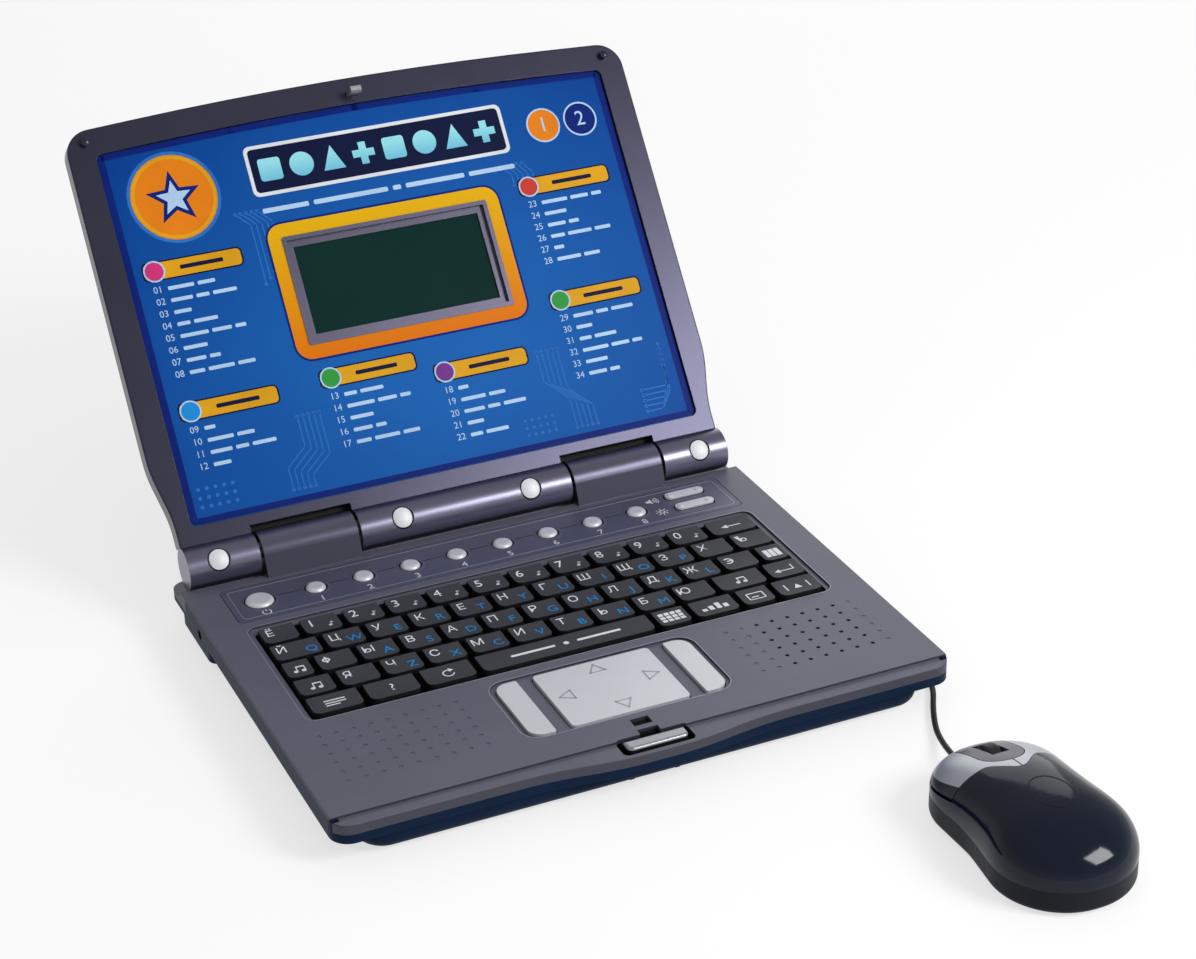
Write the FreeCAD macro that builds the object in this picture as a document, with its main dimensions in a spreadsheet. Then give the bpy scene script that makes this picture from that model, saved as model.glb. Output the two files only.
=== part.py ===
import FreeCAD, Part
import math
import os
from collections import namedtuple

import Sketcher
from FreeCAD import Placement, Rotation, Vector

# Toy laptop computer with a corded mouse, in millimetres and degrees.
# The table is z = 0, the origin lies under the middle of the base, +X is the right side, +Y the back.

DIMENSIONS = {
    # Base shells; drops are measured down from the deck, insets in from the outline
    "base_width": 270,
    "base_depth": 217,
    "deck_height": 20,
    "deck_thickness": 2.4,
    "deck_edge": 1.0,
    "deck_round": 0.6,
    "shell_wall": 2.2,
    "shell_fit": 0.1,
    "skirt_drop": 5.5,
    "skirt_run": 10,
    "skirt_end": 5,
    "skirt_overlap": 1.2,
    "rim_drop": 9.5,
    "belly_drop": 18.5,
    "belly_side_inset": 12,
    "belly_front_inset": 2,
    "belly_back_inset": 9,
    "belly_corner": 12,
    "belly_edge_round": 5,
    "front_corner": 8.5,
    "back_corner": 7,
    "bulge_depth": 5,
    "bulge_foot": 48,
    "bulge_crest": 16,
    "bulge_round": 140,
    "lip_depth": 6.5,
    "lip_drop": 1.2,
    "lip_round": 0.6,
    "foot_length": 30,
    "foot_width": 6,
    "foot_inset": 50,
    "foot_front": 17,
    "foot_back_inset": 21,
    # Screws through the rim into bosses under the deck
    "screw_inset": 8,
    "screw_front_share": 0.207,
    "screw_back_share": 0.622,
    "screw_radius": 1.3,
    "screw_head_radius": 2.7,
    "screw_head_height": 1.2,
    "screw_fit": 0.2,
    "boss_radius": 3.4,
    # Hinge; the axis is placed from the front edge and the deck
    "axis_inset": 10.8,
    "axis_rise": 6.4,
    "barrel_radius": 9.6,
    "barrel_inset": 4.5,
    "trough_gap": 1.7,
    "trough_wall": 2.0,
    "knuckle_share": 0.276,
    "knuckle_width": 44,
    "knuckle_gap": 1.5,
    "apron_angle": 69,
    "pin_radius": 2.5,
    "pin_reach": 10,
    "pin_clearance": 0.05,
    "pin_end_gap": 0.5,
    "cap_radius": 4.55,
    "cap_proud": 0.4,
    "cap_seat": 1.0,
    "cap_slope": 22,
    "cap_outer_inset": 14,
    "cap_inner_inset": 20,
    # Keyboard
    "well_inset": 17.8,
    "well_front_share": 0.3465,
    "well_depth_share": 0.353,
    "well_corner": 3,
    "well_wall": 1.6,
    "ledge_side": 2.4,
    "ledge_front": 0.8,
    "ledge_back": 4.2,
    "ledge_drop": 1.0,
    "key_rise": 1.3,
    "key_height": 5.4,
    "key_gap": 1.5,
    "row_units": 12.21,
    "home_units": 12.53,
    "key_draft": 9,
    "key_back_corner": 1.3,
    "key_front_corner": 4,
    "key_dish": 0.35,
    "key_stem": 5,
    "number_first_units": 0.95,
    "top_first_units": 1.21,
    "home_first_units": 0.74,
    "bottom_first_units": 0.95,
    "bottom_wide_units": 1.29,
    "command_wide_units": 1.28,
    "space_units": 4.22,
    "command_small_units": 0.9,
    "command_middle_units": 1.18,
    # Membrane and board
    "sheet_drop": 6.4,
    "sheet_thickness": 1.0,
    "sheet_inset": 1.0,
    "board_thickness": 1.6,
    "board_inset": 5.2,
    "board_back_gap": 0.5,
    "board_tongue_margin": 3.7,
    "board_front": 26,
    "post_radius": 3,
    # Function panel with its buttons
    "panel_inset": 15,
    "panel_front_share": 0.7433,
    "panel_depth_share": 0.1382,
    "panel_corner": 2.5,
    "panel_thickness": 1.0,
    "panel_fit": 0.3,
    "button_row_share": 0.497,
    "button_margin": 64,
    "button_start": 39.2,
    "button_radius": 4.45,
    "button_rise": 1.5,
    "button_round": 1.8,
    "button_height": 5,
    "button_gap": 0.4,
    "button_stem": 2,
    "power_start": 13.6,
    "power_radius": 6.3,
    "rocker_start": 19.6,
    "rocker_length": 19,
    "rocker_width": 5,
    "rocker_rise": 1.1,
    "rocker_height": 3.2,
    "rocker_gap": 0.6,
    "rocker_blade": 2,
    "rocker_bump": 1.4,
    "bump_height": 0.4,
    "volume_row_share": 0.71,
    "contrast_row_share": 0.337,
    # Direction pad and side buttons
    "recess_share": 0.343,
    "pad_front_share": 0.1097,
    "pad_depth_share": 0.1935,
    "pad_corner": 2,
    "pad_rise": 0.5,
    "pad_thickness": 2.6,
    "pad_gap": 0.5,
    "side_width": 10.4,
    "side_inset": 7.9,
    "side_corner": 6,
    "pad_margin": 20.2,
    "recess_margin": 1.2,
    "recess_back_margin": 2.8,
    "recess_corner": 8,
    "recess_drop": 1.0,
    "pivot_radius": 3,
    "pivot_fit": 0.3,
    "nub_size": 3,
    "nub_reach": 17,
    "nub_gap": 1.0,
    # Speaker grille
    "grille_count": 6,
    "grille_inset": 59.4,
    "grille_start": 4,
    "grille_pitch": 7.3,
    "grille_row_share": 0.1643,
    "grille_radius": 0.9,
    "dimple_depth": 0.5,
    "dimple_columns": 9,
    "dimple_start": 2,
    "speaker_radius": 20,
    "speaker_frame": 2.5,
    "speaker_magnet_radius": 10,
    "speaker_depth": 9,
    # Latch
    "latch_opening": 31.4,
    "latch_opening_front": -3,
    "latch_opening_back": 7.4,
    "latch_throat": 9,
    "latch_throat_back": 10.7,
    "latch_relief": 0.7,
    "latch_relief_back": 15.4,
    "latch_bar_width": 26.6,
    "latch_bar_front": -1.2,
    "latch_bar_depth": 6.2,
    "latch_bar_rise": 0.4,
    "latch_bar_corner": 2.4,
    "latch_bar_round": 1.2,
    "latch_plate_drop": 1.8,
    "latch_plate_thickness": 1.3,
    "latch_window_back": 9.4,
    "latch_window_width": 8,
    "latch_plate_back": 12.6,
    "latch_rail_gap": 0.3,
    "rail_offset": 10,
    "rail_width": 2,
    "rail_front": 1.5,
    "rail_back": 17,
    "spring_length": 8,
    "spring_radius": 2.2,
    "spring_wire": 0.5,
    "spring_turns": 6,
    "anchor_thickness": 2,
    "switch_slot_width": 8,
    "switch_slot_front": 13.6,
    "switch_slot_depth": 5.2,
    # Battery box under the left palm rest
    "cell_radius": 7,
    "cell_length": 50,
    "cell_pitch": 14.6,
    "cell_ahead": 22.2,
    "cell_inset": 51,
    "cell_count": 3,
    "nub_radius": 2.7,
    "cell_nub": 1,
    "contact_thickness": 0.5,
    "contact_width": 9,
    "contact_height": 9,
    "door_length": 56,
    "door_depth": 47,
    "door_corner": 2,
    "door_thickness": 1.8,
    "door_gap": 0.25,
    "box_wall": 1.5,
    # Sockets and the mouse cord's outlet
    "socket_bulge_ahead": 16,
    "socket_bulge_behind": 28,
    "bulge_socket_drop": 14.5,
    "bulge_socket_reach": 20,
    "socket_share": 0.797,
    "socket_drop": 7.5,
    "socket_nose_radius": 2.8,
    "socket_body_radius": 4.2,
    "socket_body_length": 12,
    "socket_bore": 2.2,
    "socket_bore_depth": 9,
    "socket_pin": 0.7,
    "socket_fit": 0.15,
    "outlet_behind": 1.5,
    "outlet_height": 6,
    "outlet_radius": 2.9,
    "outlet_flange": 4.2,
    "outlet_flange_thickness": 1,
    "outlet_nose": 3.5,
    "cord_radius": 1.25,
    "cord_end_gap": 0.5,
    # Lid, in its own frame: across, up from the axis and out of the screen
    "opening_angle": 126.8,
    "lid_overhang": 0.5,
    "lid_front_gap": 4.7,
    "lid_peak": 7.4,
    "lid_peak_round": 1900,
    "lid_corner": 12,
    "lid_low": 5,
    "lid_back_low": 10.4,
    "lid_waist_inset": 5,
    "lid_waist_low": 22,
    "lid_waist_high": 45,
    "lid_waist_round": 60,
    "bezel_level": 2.9,
    "bezel_round": 0.8,
    "overlay_drop": 1.5,
    "overlay_thickness": 0.8,
    "bezel_plate": 1.8,
    "lid_split": 2.5,
    "lid_wall": 2.0,
    "lid_back_round": 4.5,
    "window_inset": 12.3,
    "window_low": 17.3,
    "window_top_inset": 11.9,
    "window_peak": 7,
    "window_corner": 3,
    "overlay_fit": 0.25,
    "notch_high": 12.5,
    "lcd_middle_share": 0.556,
    "lcd_width": 100,
    "lcd_depth": 51.4,
    "lcd_corner": 1.2,
    "lcd_proud": 0.5,
    "lcd_rim": 2,
    "lcd_bevel": 5,
    "lcd_bevel_drop": 2.2,
    "lcd_fit": 0.2,
    "glass_margin": 2,
    "glass_thickness": 1,
    "module_margin": 4,
    "module_thickness": 3.4,
    "hook_top_inset": 2.3,
    "hook_thickness": 2,
    "hook_width": 5.2,
    "hook_reach": 8.2,
    "hook_barb": 1.3,
    "hook_barb_height": 1.4,
    "hook_fit": 0.2,
    "hook_flange": 2.4,
    "hook_flange_thickness": 1,
    "bumper_inset": 9,
    "bumper_top_inset": 5.5,
    "bumper_radius": 2,
    "bumper_height": 3.1,
    "bumper_slope": 35,
    # Mouse, in its own frame: the nose points to +Y
    "mouse_inset": 26.5,
    "mouse_ahead": 100.8,
    "mouse_length": 96,
    "mouse_tail_width": 66,
    "mouse_waist_width": 52.6,
    "mouse_nose_width": 55,
    "mouse_waist": 2,
    "mouse_tail_round": 28,
    "mouse_waist_round": 60,
    "mouse_nose_round": 24,
    "mouse_seam": 11,
    "mouse_height": 32,
    "mouse_base_round": 3,
    "mouse_crown_fullness": 2.35,
    "mouse_wall": 2.2,
    "mouse_floor": 2.4,
    "skate_height": 0.8,
    "skate_radius": 4,
    "skate_side": 15,
    "skate_ahead": 30,
    "mouse_button_tip": 7,
    "mouse_button_back": 16.7,
    "mouse_button_shoulder": 11,
    "mouse_button_bend": 5,
    "mouse_button_low": 14.5,
    "mouse_button_rise": 7,
    "mouse_button_level": 36,
    "mouse_button_gap": 0.4,
    "mouse_button_travel_gap": 1.2,
    "mouse_split": 0.6,
    "inlay_width": 19,
    "inlay_length": 32,
    "inlay_middle": 31.4,
    "wheel_ahead": 30,
    "wheel_height": 19.2,
    "wheel_radius": 8,
    "wheel_slot_back": 6.8,
    "wheel_width": 6.4,
    "wheel_round": 1.6,
    "wheel_gap": 0.6,
    "wheel_axle": 1.5,
    "wheel_axle_half": 7.2,
    "wheel_post_inner": 4.4,
    "wheel_post_thickness": 2.2,
    "wheel_post_length": 7,
    "wheel_post_cover": 1,
    "mouse_board_height": 5.2,
    "mouse_board_thickness": 1.4,
    "mouse_board_width": 34,
    "mouse_board_length": 34,
    "mouse_board_back": 4,
    "mouse_post_radius": 2.2,
    "lens_radius": 6,
    "lens_thickness": 1.6,
    "lens_flange": 1.2,
    "relief_height": 7,
    "relief_root": 2.6,
    "relief_tip": 1.9,
    "relief_reach": 8,
}

# Free points of the mouse cord, lying on the table: out from the base's right side, back from its front
# edge, and up
CORD_POINTS = [
    (6.5, 173.0, 2.6),
    (5.5, 138.5, 1.3),
    (3.8, 92.5, 1.3),
    (4.4, 50.5, 1.3),
    (0.6, 16.5, 1.3),
    (-13.6, -6.5, 1.3),
    (-21.8, -25.5, 2.2),
]

# Height of the mouse's back along its length: shares of the half length from the middle to the nose, and
# shares of the crown's height above the seam
CROWN_PROFILE = [
    (-1.0, 0.076),
    (-0.983, 0.248),
    (-0.938, 0.438),
    (-0.854, 0.619),
    (-0.708, 0.81),
    (-0.458, 0.967),
    (-0.167, 1.0),
    (0.125, 0.971),
    (0.375, 0.886),
    (0.604, 0.743),
    (0.792, 0.571),
    (0.917, 0.4),
    (0.979, 0.238),
    (1.0, 0.076),
]

ROW_NAMES = ("number", "top", "home", "bottom", "command")

Corner = namedtuple("Corner", "x y radius")
Ring = namedtuple("Ring", "x y radius")


class Size:
    """A length or angle that knows its number and its spreadsheet expression."""

    def __init__(self, text, number):
        self.text = text
        self.number = number

    def __add__(self, other):
        other = size(other)
        return Size(f"({self.text} + {other.text})", self.number + other.number)

    def __sub__(self, other):
        other = size(other)
        return Size(f"({self.text} - {other.text})", self.number - other.number)

    def __mul__(self, other):
        other = size(other)
        return Size(f"({self.text} * {other.text})", self.number * other.number)

    def __truediv__(self, other):
        other = size(other)
        return Size(f"({self.text} / {other.text})", self.number / other.number)

    def __neg__(self):
        return Size(f"(0 - {self.text})", -self.number)

    def __rsub__(self, other):
        return size(other) - self

    __radd__ = __add__
    __rmul__ = __mul__


def size(value):
    """Gives a plain number the same form as a spreadsheet size."""
    if isinstance(value, Size):
        return value
    return Size(f"({float(value)!r})", float(value))


def sine(angle):
    return Size(f"sin({angle.text})", math.sin(math.radians(angle.number)))


def cosine(angle):
    return Size(f"cos({angle.text})", math.cos(math.radians(angle.number)))


class Sheet:
    """The spreadsheet of driving dimensions; each one is an attribute of the same name."""

    def __init__(self, document, dimensions):
        sheet = document.addObject("Spreadsheet::Sheet", "Dims")
        for row, (name, number) in enumerate(dimensions.items(), 1):
            sheet.set(f"A{row}", name)
            sheet.set(f"B{row}", str(number))
            sheet.setAlias(f"B{row}", name)
            setattr(self, name, Size(f"Dims.{name}", float(number)))
        document.recompute()


doc = FreeCAD.newDocument("ToyLaptop")
d = Sheet(doc, DIMENSIONS)
nodes = {}


def node(label, thing):
    """Names a finished sub-part and lists it for export."""
    thing.Label = label
    nodes[label] = thing
    return thing


def bind(thing, **sizes):
    for name, value in sizes.items():
        thing.setExpression(name, size(value).text)


def place(thing, x=0, y=0, z=0, axis=None, angle=0):
    """Ties a sub-part's place, and its turn about one axis, to the spreadsheet."""
    turn = Rotation(axis, size(angle).number) if axis else Rotation()
    thing.Placement = Placement(Vector(), turn)
    for letter, value in (("x", x), ("y", y), ("z", z)):
        thing.setExpression(f"Placement.Base.{letter}", size(value).text)
    if axis:
        thing.setExpression("Placement.Rotation.Angle", size(angle).text)


def unit(start, end):
    """The direction from one plain point to another and the distance between them."""
    dx, dy = end[0] - start[0], end[1] - start[1]
    run = math.hypot(dx, dy)
    return dx / run, dy / run


def draw_outline(drawing, corners):
    """Draws a closed outline whose corners, sharp or rounded, are bound to the spreadsheet."""
    spots = [(size(c.x).number, size(c.y).number) for c in corners]
    radii = [size(c.radius).number for c in corners]
    count = len(corners)
    enter, leave, arcs = [], [], {}
    for i, spot in enumerate(spots):
        before = unit(spot, spots[i - 1])
        after = unit(spot, spots[(i + 1) % count])
        if not radii[i]:
            enter.append(spot)
            leave.append(spot)
            continue
        half = math.acos(before[0] * after[0] + before[1] * after[1]) / 2
        reach = radii[i] / math.tan(half)
        enter.append((spot[0] + before[0] * reach, spot[1] + before[1] * reach))
        leave.append((spot[0] + after[0] * reach, spot[1] + after[1] * reach))
        bisector = unit((0, 0), (before[0] + after[0], before[1] + after[1]))
        far = radii[i] / math.sin(half)
        arcs[i] = (spot[0] + bisector[0] * far, spot[1] + bisector[1] * far)

    first = drawing.GeometryCount
    for i in range(count):
        begin, end = leave[i], enter[(i + 1) % count]
        drawing.addGeometry(Part.LineSegment(Vector(*begin, 0), Vector(*end, 0)))
    rules, sizes = [], []

    def measure(rule, value):
        rules.append(rule)
        sizes.append((len(rules) - 1, size(value).text))

    for i, corner in enumerate(corners):
        x, y = spots[i]
        line, last = first + i, first + (i - 1) % count
        if i not in arcs:
            rules.append(Sketcher.Constraint("Coincident", last, 2, line, 1))
            measure(Sketcher.Constraint("DistanceX", -1, 1, line, 1, x), corner.x)
            measure(Sketcher.Constraint("DistanceY", -1, 1, line, 1, y), corner.y)
            continue
        centre = arcs[i]
        start = math.atan2(enter[i][1] - centre[1], enter[i][0] - centre[0])
        stop = math.atan2(leave[i][1] - centre[1], leave[i][0] - centre[0])
        inward = (stop - start) % (2 * math.pi) > math.pi
        if inward:
            start, stop = stop, start
        circle = Part.Circle(Vector(*centre, 0), Vector(0, 0, 1), radii[i])
        arc = drawing.addGeometry(Part.ArcOfCircle(circle, start, stop))
        point = drawing.addGeometry(Part.Point(Vector(x, y, 0)), True)
        rules.append(Sketcher.Constraint("Tangent", last, 2, arc, 2 if inward else 1))
        rules.append(Sketcher.Constraint("Tangent", line, 1, arc, 1 if inward else 2))
        rules.append(Sketcher.Constraint("PointOnObject", point, 1, last))
        rules.append(Sketcher.Constraint("PointOnObject", point, 1, line))
        measure(Sketcher.Constraint("DistanceX", -1, 1, point, 1, x), corner.x)
        measure(Sketcher.Constraint("DistanceY", -1, 1, point, 1, y), corner.y)
        measure(Sketcher.Constraint("Radius", arc, radii[i]), corner.radius)
    tie(drawing, rules, sizes)


def draw_ring(drawing, ring):
    """Draws a full circle bound to the spreadsheet."""
    x, y, radius = (size(value) for value in ring)
    circle = Part.Circle(Vector(x.number, y.number, 0), Vector(0, 0, 1), radius.number)
    index = drawing.addGeometry(circle)
    rules = [
        Sketcher.Constraint("DistanceX", -1, 1, index, 3, x.number),
        Sketcher.Constraint("DistanceY", -1, 1, index, 3, y.number),
        Sketcher.Constraint("Radius", index, radius.number),
    ]
    tie(drawing, rules, [(0, x.text), (1, y.text), (2, radius.text)])


def tie(drawing, rules, sizes):
    """Adds constraints to a sketch and binds the measured ones."""
    first = drawing.ConstraintCount
    drawing.addConstraint(rules)
    for index, text in sizes:
        drawing.setExpression(f"Constraints[{first + index}]", text)


def draw(drawing, loops):
    for loop in loops:
        if isinstance(loop, Ring):
            draw_ring(drawing, loop)
        else:
            draw_outline(drawing, loop)


def rectangle(x, y, width, depth, radius=0):
    """Corners of a rectangle with equal rounds, about its middle, anticlockwise."""
    return [
        Corner(x - width / 2, y - depth / 2, radius),
        Corner(x + width / 2, y - depth / 2, radius),
        Corner(x + width / 2, y + depth / 2, radius),
        Corner(x - width / 2, y + depth / 2, radius),
    ]


def span(left, right, front, back, radius=0):
    """Corners of a rectangle between four edges, anticlockwise."""
    return [
        Corner(left, front, radius),
        Corner(right, front, radius),
        Corner(right, back, radius),
        Corner(left, back, radius),
    ]


def body(label):
    return node(label, doc.addObject("PartDesign::Body", label))


def sketch(part, loops, level, role):
    drawing = part.newObject("Sketcher::SketchObject", "Sketch")
    plane = next(f for f in part.Origin.OriginFeatures if f.Role == role)
    drawing.AttachmentSupport = [(plane, "")]
    drawing.MapMode = "FlatFace"
    drawing.setExpression("AttachmentOffset.Base.z", size(level).text)
    draw(drawing, loops)
    return drawing


def pad(part, loops, level, length, role="XY_Plane"):
    """Adds material from a level along the plane's normal."""
    profile = sketch(part, loops, level, role)
    feature = part.newObject("PartDesign::Pad", "Pad")
    feature.Profile = profile
    bind(feature, Length=length)
    return feature


def pocket(part, loops, level, depth, role="XY_Plane", along=False):
    """Cuts from a level against the plane's normal, or along it."""
    profile = sketch(part, loops, level, role)
    feature = part.newObject("PartDesign::Pocket", "Pocket")
    feature.Profile = profile
    feature.Reversed = along
    bind(feature, Length=depth)
    return feature


def fillet(part, radius, chosen):
    """Rounds the edges of the body's last feature that the test picks."""
    doc.recompute()
    base = part.Tip
    names = [f"Edge{i}" for i, edge in enumerate(base.Shape.Edges, 1) if chosen(edge)]
    feature = part.newObject("PartDesign::Fillet", "Fillet")
    feature.Base = (base, names)
    bind(feature, Radius=radius)
    return feature


def flat_at(level):
    """Tests for edges that lie wholly at one height."""
    height = size(level).number

    def test(edge):
        box = edge.BoundBox
        return abs(box.ZMin - height) < 1e-4 and abs(box.ZMax - height) < 1e-4

    return test


def turned(label, corners):
    """A body turned about its own upright axis, from a profile of radius and height."""
    part = body(label)
    revolve(part, corners)
    return part


def revolve(part, corners):
    profile = sketch(part, [corners], 0, "XZ_Plane")
    feature = part.newObject("PartDesign::Revolution", "Turn")
    feature.Profile = profile
    feature.ReferenceAxis = (profile, ["V_Axis"])
    feature.Angle = 360
    return feature


def box(name, x, y, z, length, width, height):
    thing = doc.addObject("Part::Box", name)
    bind(thing, Length=length, Width=width, Height=height)
    place(thing, x, y, z)
    return thing


def cylinder(name, radius, height, x, y, z, axis=None, angle=0):
    thing = doc.addObject("Part::Cylinder", name)
    bind(thing, Radius=radius, Height=height)
    place(thing, x, y, z, axis, angle)
    return thing


def stud(name, radius, height, slope, x, y, z):
    """A short round post with a domed top; slope is the dome's lean at its rim."""
    dome = radius / sine(slope)
    rise = dome - dome * cosine(slope)
    post = cylinder(f"{name}_post", radius, height - rise, x, y, z)
    top = doc.addObject("Part::Sphere", f"{name}_dome")
    bind(top, Radius=dome, Angle1=90 - slope, Angle2=90)
    place(top, x, y, z + height - dome)
    return fuse(name, [post, top])


def extrusion(name, loops, level, height, draft=None):
    """A free solid from an outline, with walls that may lean in."""
    drawing = doc.addObject("Sketcher::SketchObject", name + "_outline")
    draw(drawing, loops)
    place(drawing, z=level)
    thing = doc.addObject("Part::Extrusion", name)
    thing.Base = drawing
    thing.DirMode = "Normal"
    thing.Solid = True
    bind(thing, LengthFwd=height)
    if draft:
        bind(thing, TaperAngle=-draft)
    return thing


def cut(name, base, tool):
    thing = doc.addObject("Part::Cut", name)
    thing.Base, thing.Tool = base, tool
    return thing


def common(name, base, tool):
    thing = doc.addObject("Part::Common", name)
    thing.Base, thing.Tool = base, tool
    return thing


def fuse(name, members):
    thing = doc.addObject("Part::MultiFuse", name)
    thing.Shapes = members
    return thing


def group(label, members):
    """A node of separate solids."""
    thing = doc.addObject("Part::Compound", label)
    thing.Links = members
    return node(label, thing)


X_AXIS, Y_AXIS = Vector(1, 0, 0), Vector(0, 1, 0)


def derive_sizes():
    """Sizes that follow from the base, the lid and the well they belong to."""
    width, depth = d.base_width, d.base_depth
    d.axis_back = depth - d.axis_inset
    d.screw_side = width / 2 - d.screw_inset
    d.screw_front = depth * d.screw_front_share
    d.screw_back = depth * d.screw_back_share
    d.foot_side = width / 2 - d.foot_inset
    d.foot_back = depth - d.foot_back_inset
    d.barrel_end = width / 2 - d.barrel_inset
    d.knuckle_middle = width * d.knuckle_share
    d.cap_outer = d.barrel_end - d.cap_outer_inset
    d.cap_inner = d.knuckle_middle - d.knuckle_width / 2 - d.knuckle_gap - d.cap_inner_inset

    d.well_width = width - d.well_inset * 2
    d.well_front = depth * d.well_front_share
    d.well_depth = depth * d.well_depth_share
    d.key_unit = d.well_width / d.row_units
    d.home_unit = d.well_width / d.home_units
    for cell in ("number_first", "top_first", "home_first", "bottom_first", "bottom_wide"):
        setattr(d, cell, d.key_unit * getattr(d, cell + "_units"))
    for cell in ("command_wide", "command_small", "command_middle"):
        setattr(d, cell, d.key_unit * getattr(d, cell + "_units"))
    d.space_cell = d.key_unit * d.space_units

    d.panel_width = width - d.panel_inset * 2
    d.panel_front = depth * d.panel_front_share
    d.panel_depth = depth * d.panel_depth_share
    d.button_row = d.panel_front + d.panel_depth * d.button_row_share
    d.button_pitch = (d.panel_width - d.button_margin) / 8
    d.button_first = d.button_start - d.panel_width / 2
    d.power_side = d.power_start - d.panel_width / 2
    d.rocker_side = d.panel_width / 2 - d.rocker_start
    d.volume_row = d.panel_front + d.panel_depth * d.volume_row_share
    d.contrast_row = d.panel_front + d.panel_depth * d.contrast_row_share

    d.pad_front = depth * d.pad_front_share
    d.pad_depth = depth * d.pad_depth_share
    d.recess_width = width * d.recess_share
    d.recess_front = d.pad_front - d.recess_margin
    d.recess_depth = d.pad_depth + d.recess_margin + d.recess_back_margin
    d.pad_width = d.recess_width - d.pad_margin * 2
    d.side_offset = d.recess_width / 2 - d.side_inset
    d.grille_side = width / 2 - d.grille_inset
    d.grille_front = d.pad_front + d.grille_start
    d.grille_row_pitch = d.pad_depth * d.grille_row_share
    d.board_half_width = d.well_width / 2 - d.board_inset
    d.board_back = d.axis_back - d.barrel_radius - d.trough_gap - d.trough_wall - d.board_back_gap
    d.board_tongue = d.recess_width / 2 + d.board_tongue_margin
    d.cell_middle = d.pad_front + d.cell_ahead
    d.cell_side = d.cell_inset - width / 2
    d.socket_row = depth * d.socket_share
    d.bulge_socket_front = d.socket_row - d.socket_bulge_ahead
    d.bulge_socket_back = d.socket_row + d.socket_bulge_behind
    d.outlet_row = d.socket_row + d.outlet_behind

    d.lid_width = width + d.lid_overhang * 2
    d.lid_waist_width = d.lid_width - d.lid_waist_inset * 2
    d.lid_top = d.axis_back - d.lid_front_gap
    d.window_width = d.lid_width - d.window_inset * 2
    d.window_high = d.lid_top - d.window_top_inset
    d.lcd_middle = d.lid_top * d.lcd_middle_share
    d.hook_high = d.lid_top - d.hook_top_inset
    d.bumper_side = d.lid_width / 2 - d.bumper_inset
    d.bumper_high = d.lid_top - d.bumper_top_inset
    d.mouse_side = width / 2 - d.mouse_inset


derive_sizes()

# Levels and places that several pieces share
front = -d.base_depth / 2
back = d.base_depth / 2
side = d.base_width / 2
deck = d.deck_height
deck_under = deck - d.deck_thickness
wall_top = deck - d.deck_edge
skirt_low = deck - d.skirt_drop
rim_low = deck - d.rim_drop
rim_floor = rim_low + d.shell_wall
belly_low = deck - d.belly_drop
belly_floor = belly_low + d.shell_wall
axis_y = front + d.axis_back
axis_z = deck + d.axis_rise
trough_radius = d.barrel_radius + d.trough_gap
trough_floor = axis_z - trough_radius
trough_low = trough_floor - d.trough_wall
trough_front = axis_y - trough_radius - d.trough_wall
sheet_top = deck - d.sheet_drop
sheet_low = sheet_top - d.sheet_thickness
board_low = sheet_low - d.board_thickness
knuckle_near = d.knuckle_middle - d.knuckle_width / 2
knuckle_far = d.knuckle_middle + d.knuckle_width / 2
barrel_near = knuckle_near - d.knuckle_gap
barrel_far = knuckle_far + d.knuckle_gap
well_middle = front + d.well_front + d.well_depth / 2
panel_middle = front + d.panel_front + d.panel_depth / 2
pad_middle = front + d.pad_front + d.pad_depth / 2
button_y = front + d.button_row
screw_spots = [
    (x, front + y) for x in (-d.screw_side, d.screw_side) for y in (d.screw_front, d.screw_back)
]
button_spots = [d.button_first + d.button_pitch * i for i in range(8)]
rocker_rows = {"volume_rocker": front + d.volume_row, "contrast_rocker": front + d.contrast_row}
latch_plate_top = deck - d.latch_plate_drop
latch_plate_low = latch_plate_top - d.latch_plate_thickness
past = d.shell_wall


def front_edge(inset):
    """The front of the base outline from its left corner to its right, bowed out at the latch."""
    low, crest = front + inset, front - d.bulge_depth + inset
    corner = d.front_corner - inset
    return [
        Corner(inset - side, low, corner),
        Corner(-d.bulge_foot, low, d.bulge_round + inset),
        Corner(-d.bulge_crest, crest, d.bulge_round - inset),
        Corner(d.bulge_crest, crest, d.bulge_round - inset),
        Corner(d.bulge_foot, low, d.bulge_round + inset),
        Corner(side - inset, low, corner),
    ]


def base_outline(inset):
    inset = size(inset)
    corner = d.back_corner - inset
    return front_edge(inset) + [
        Corner(side - inset, back - inset, corner),
        Corner(inset - side, back - inset, corner),
    ]


def belly_outline(inset):
    inset = size(inset)
    return span(
        d.belly_side_inset + inset - side,
        side - d.belly_side_inset - inset,
        front + d.belly_front_inset + inset,
        back - d.belly_back_inset - inset,
        d.belly_corner - inset,
    )


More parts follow.
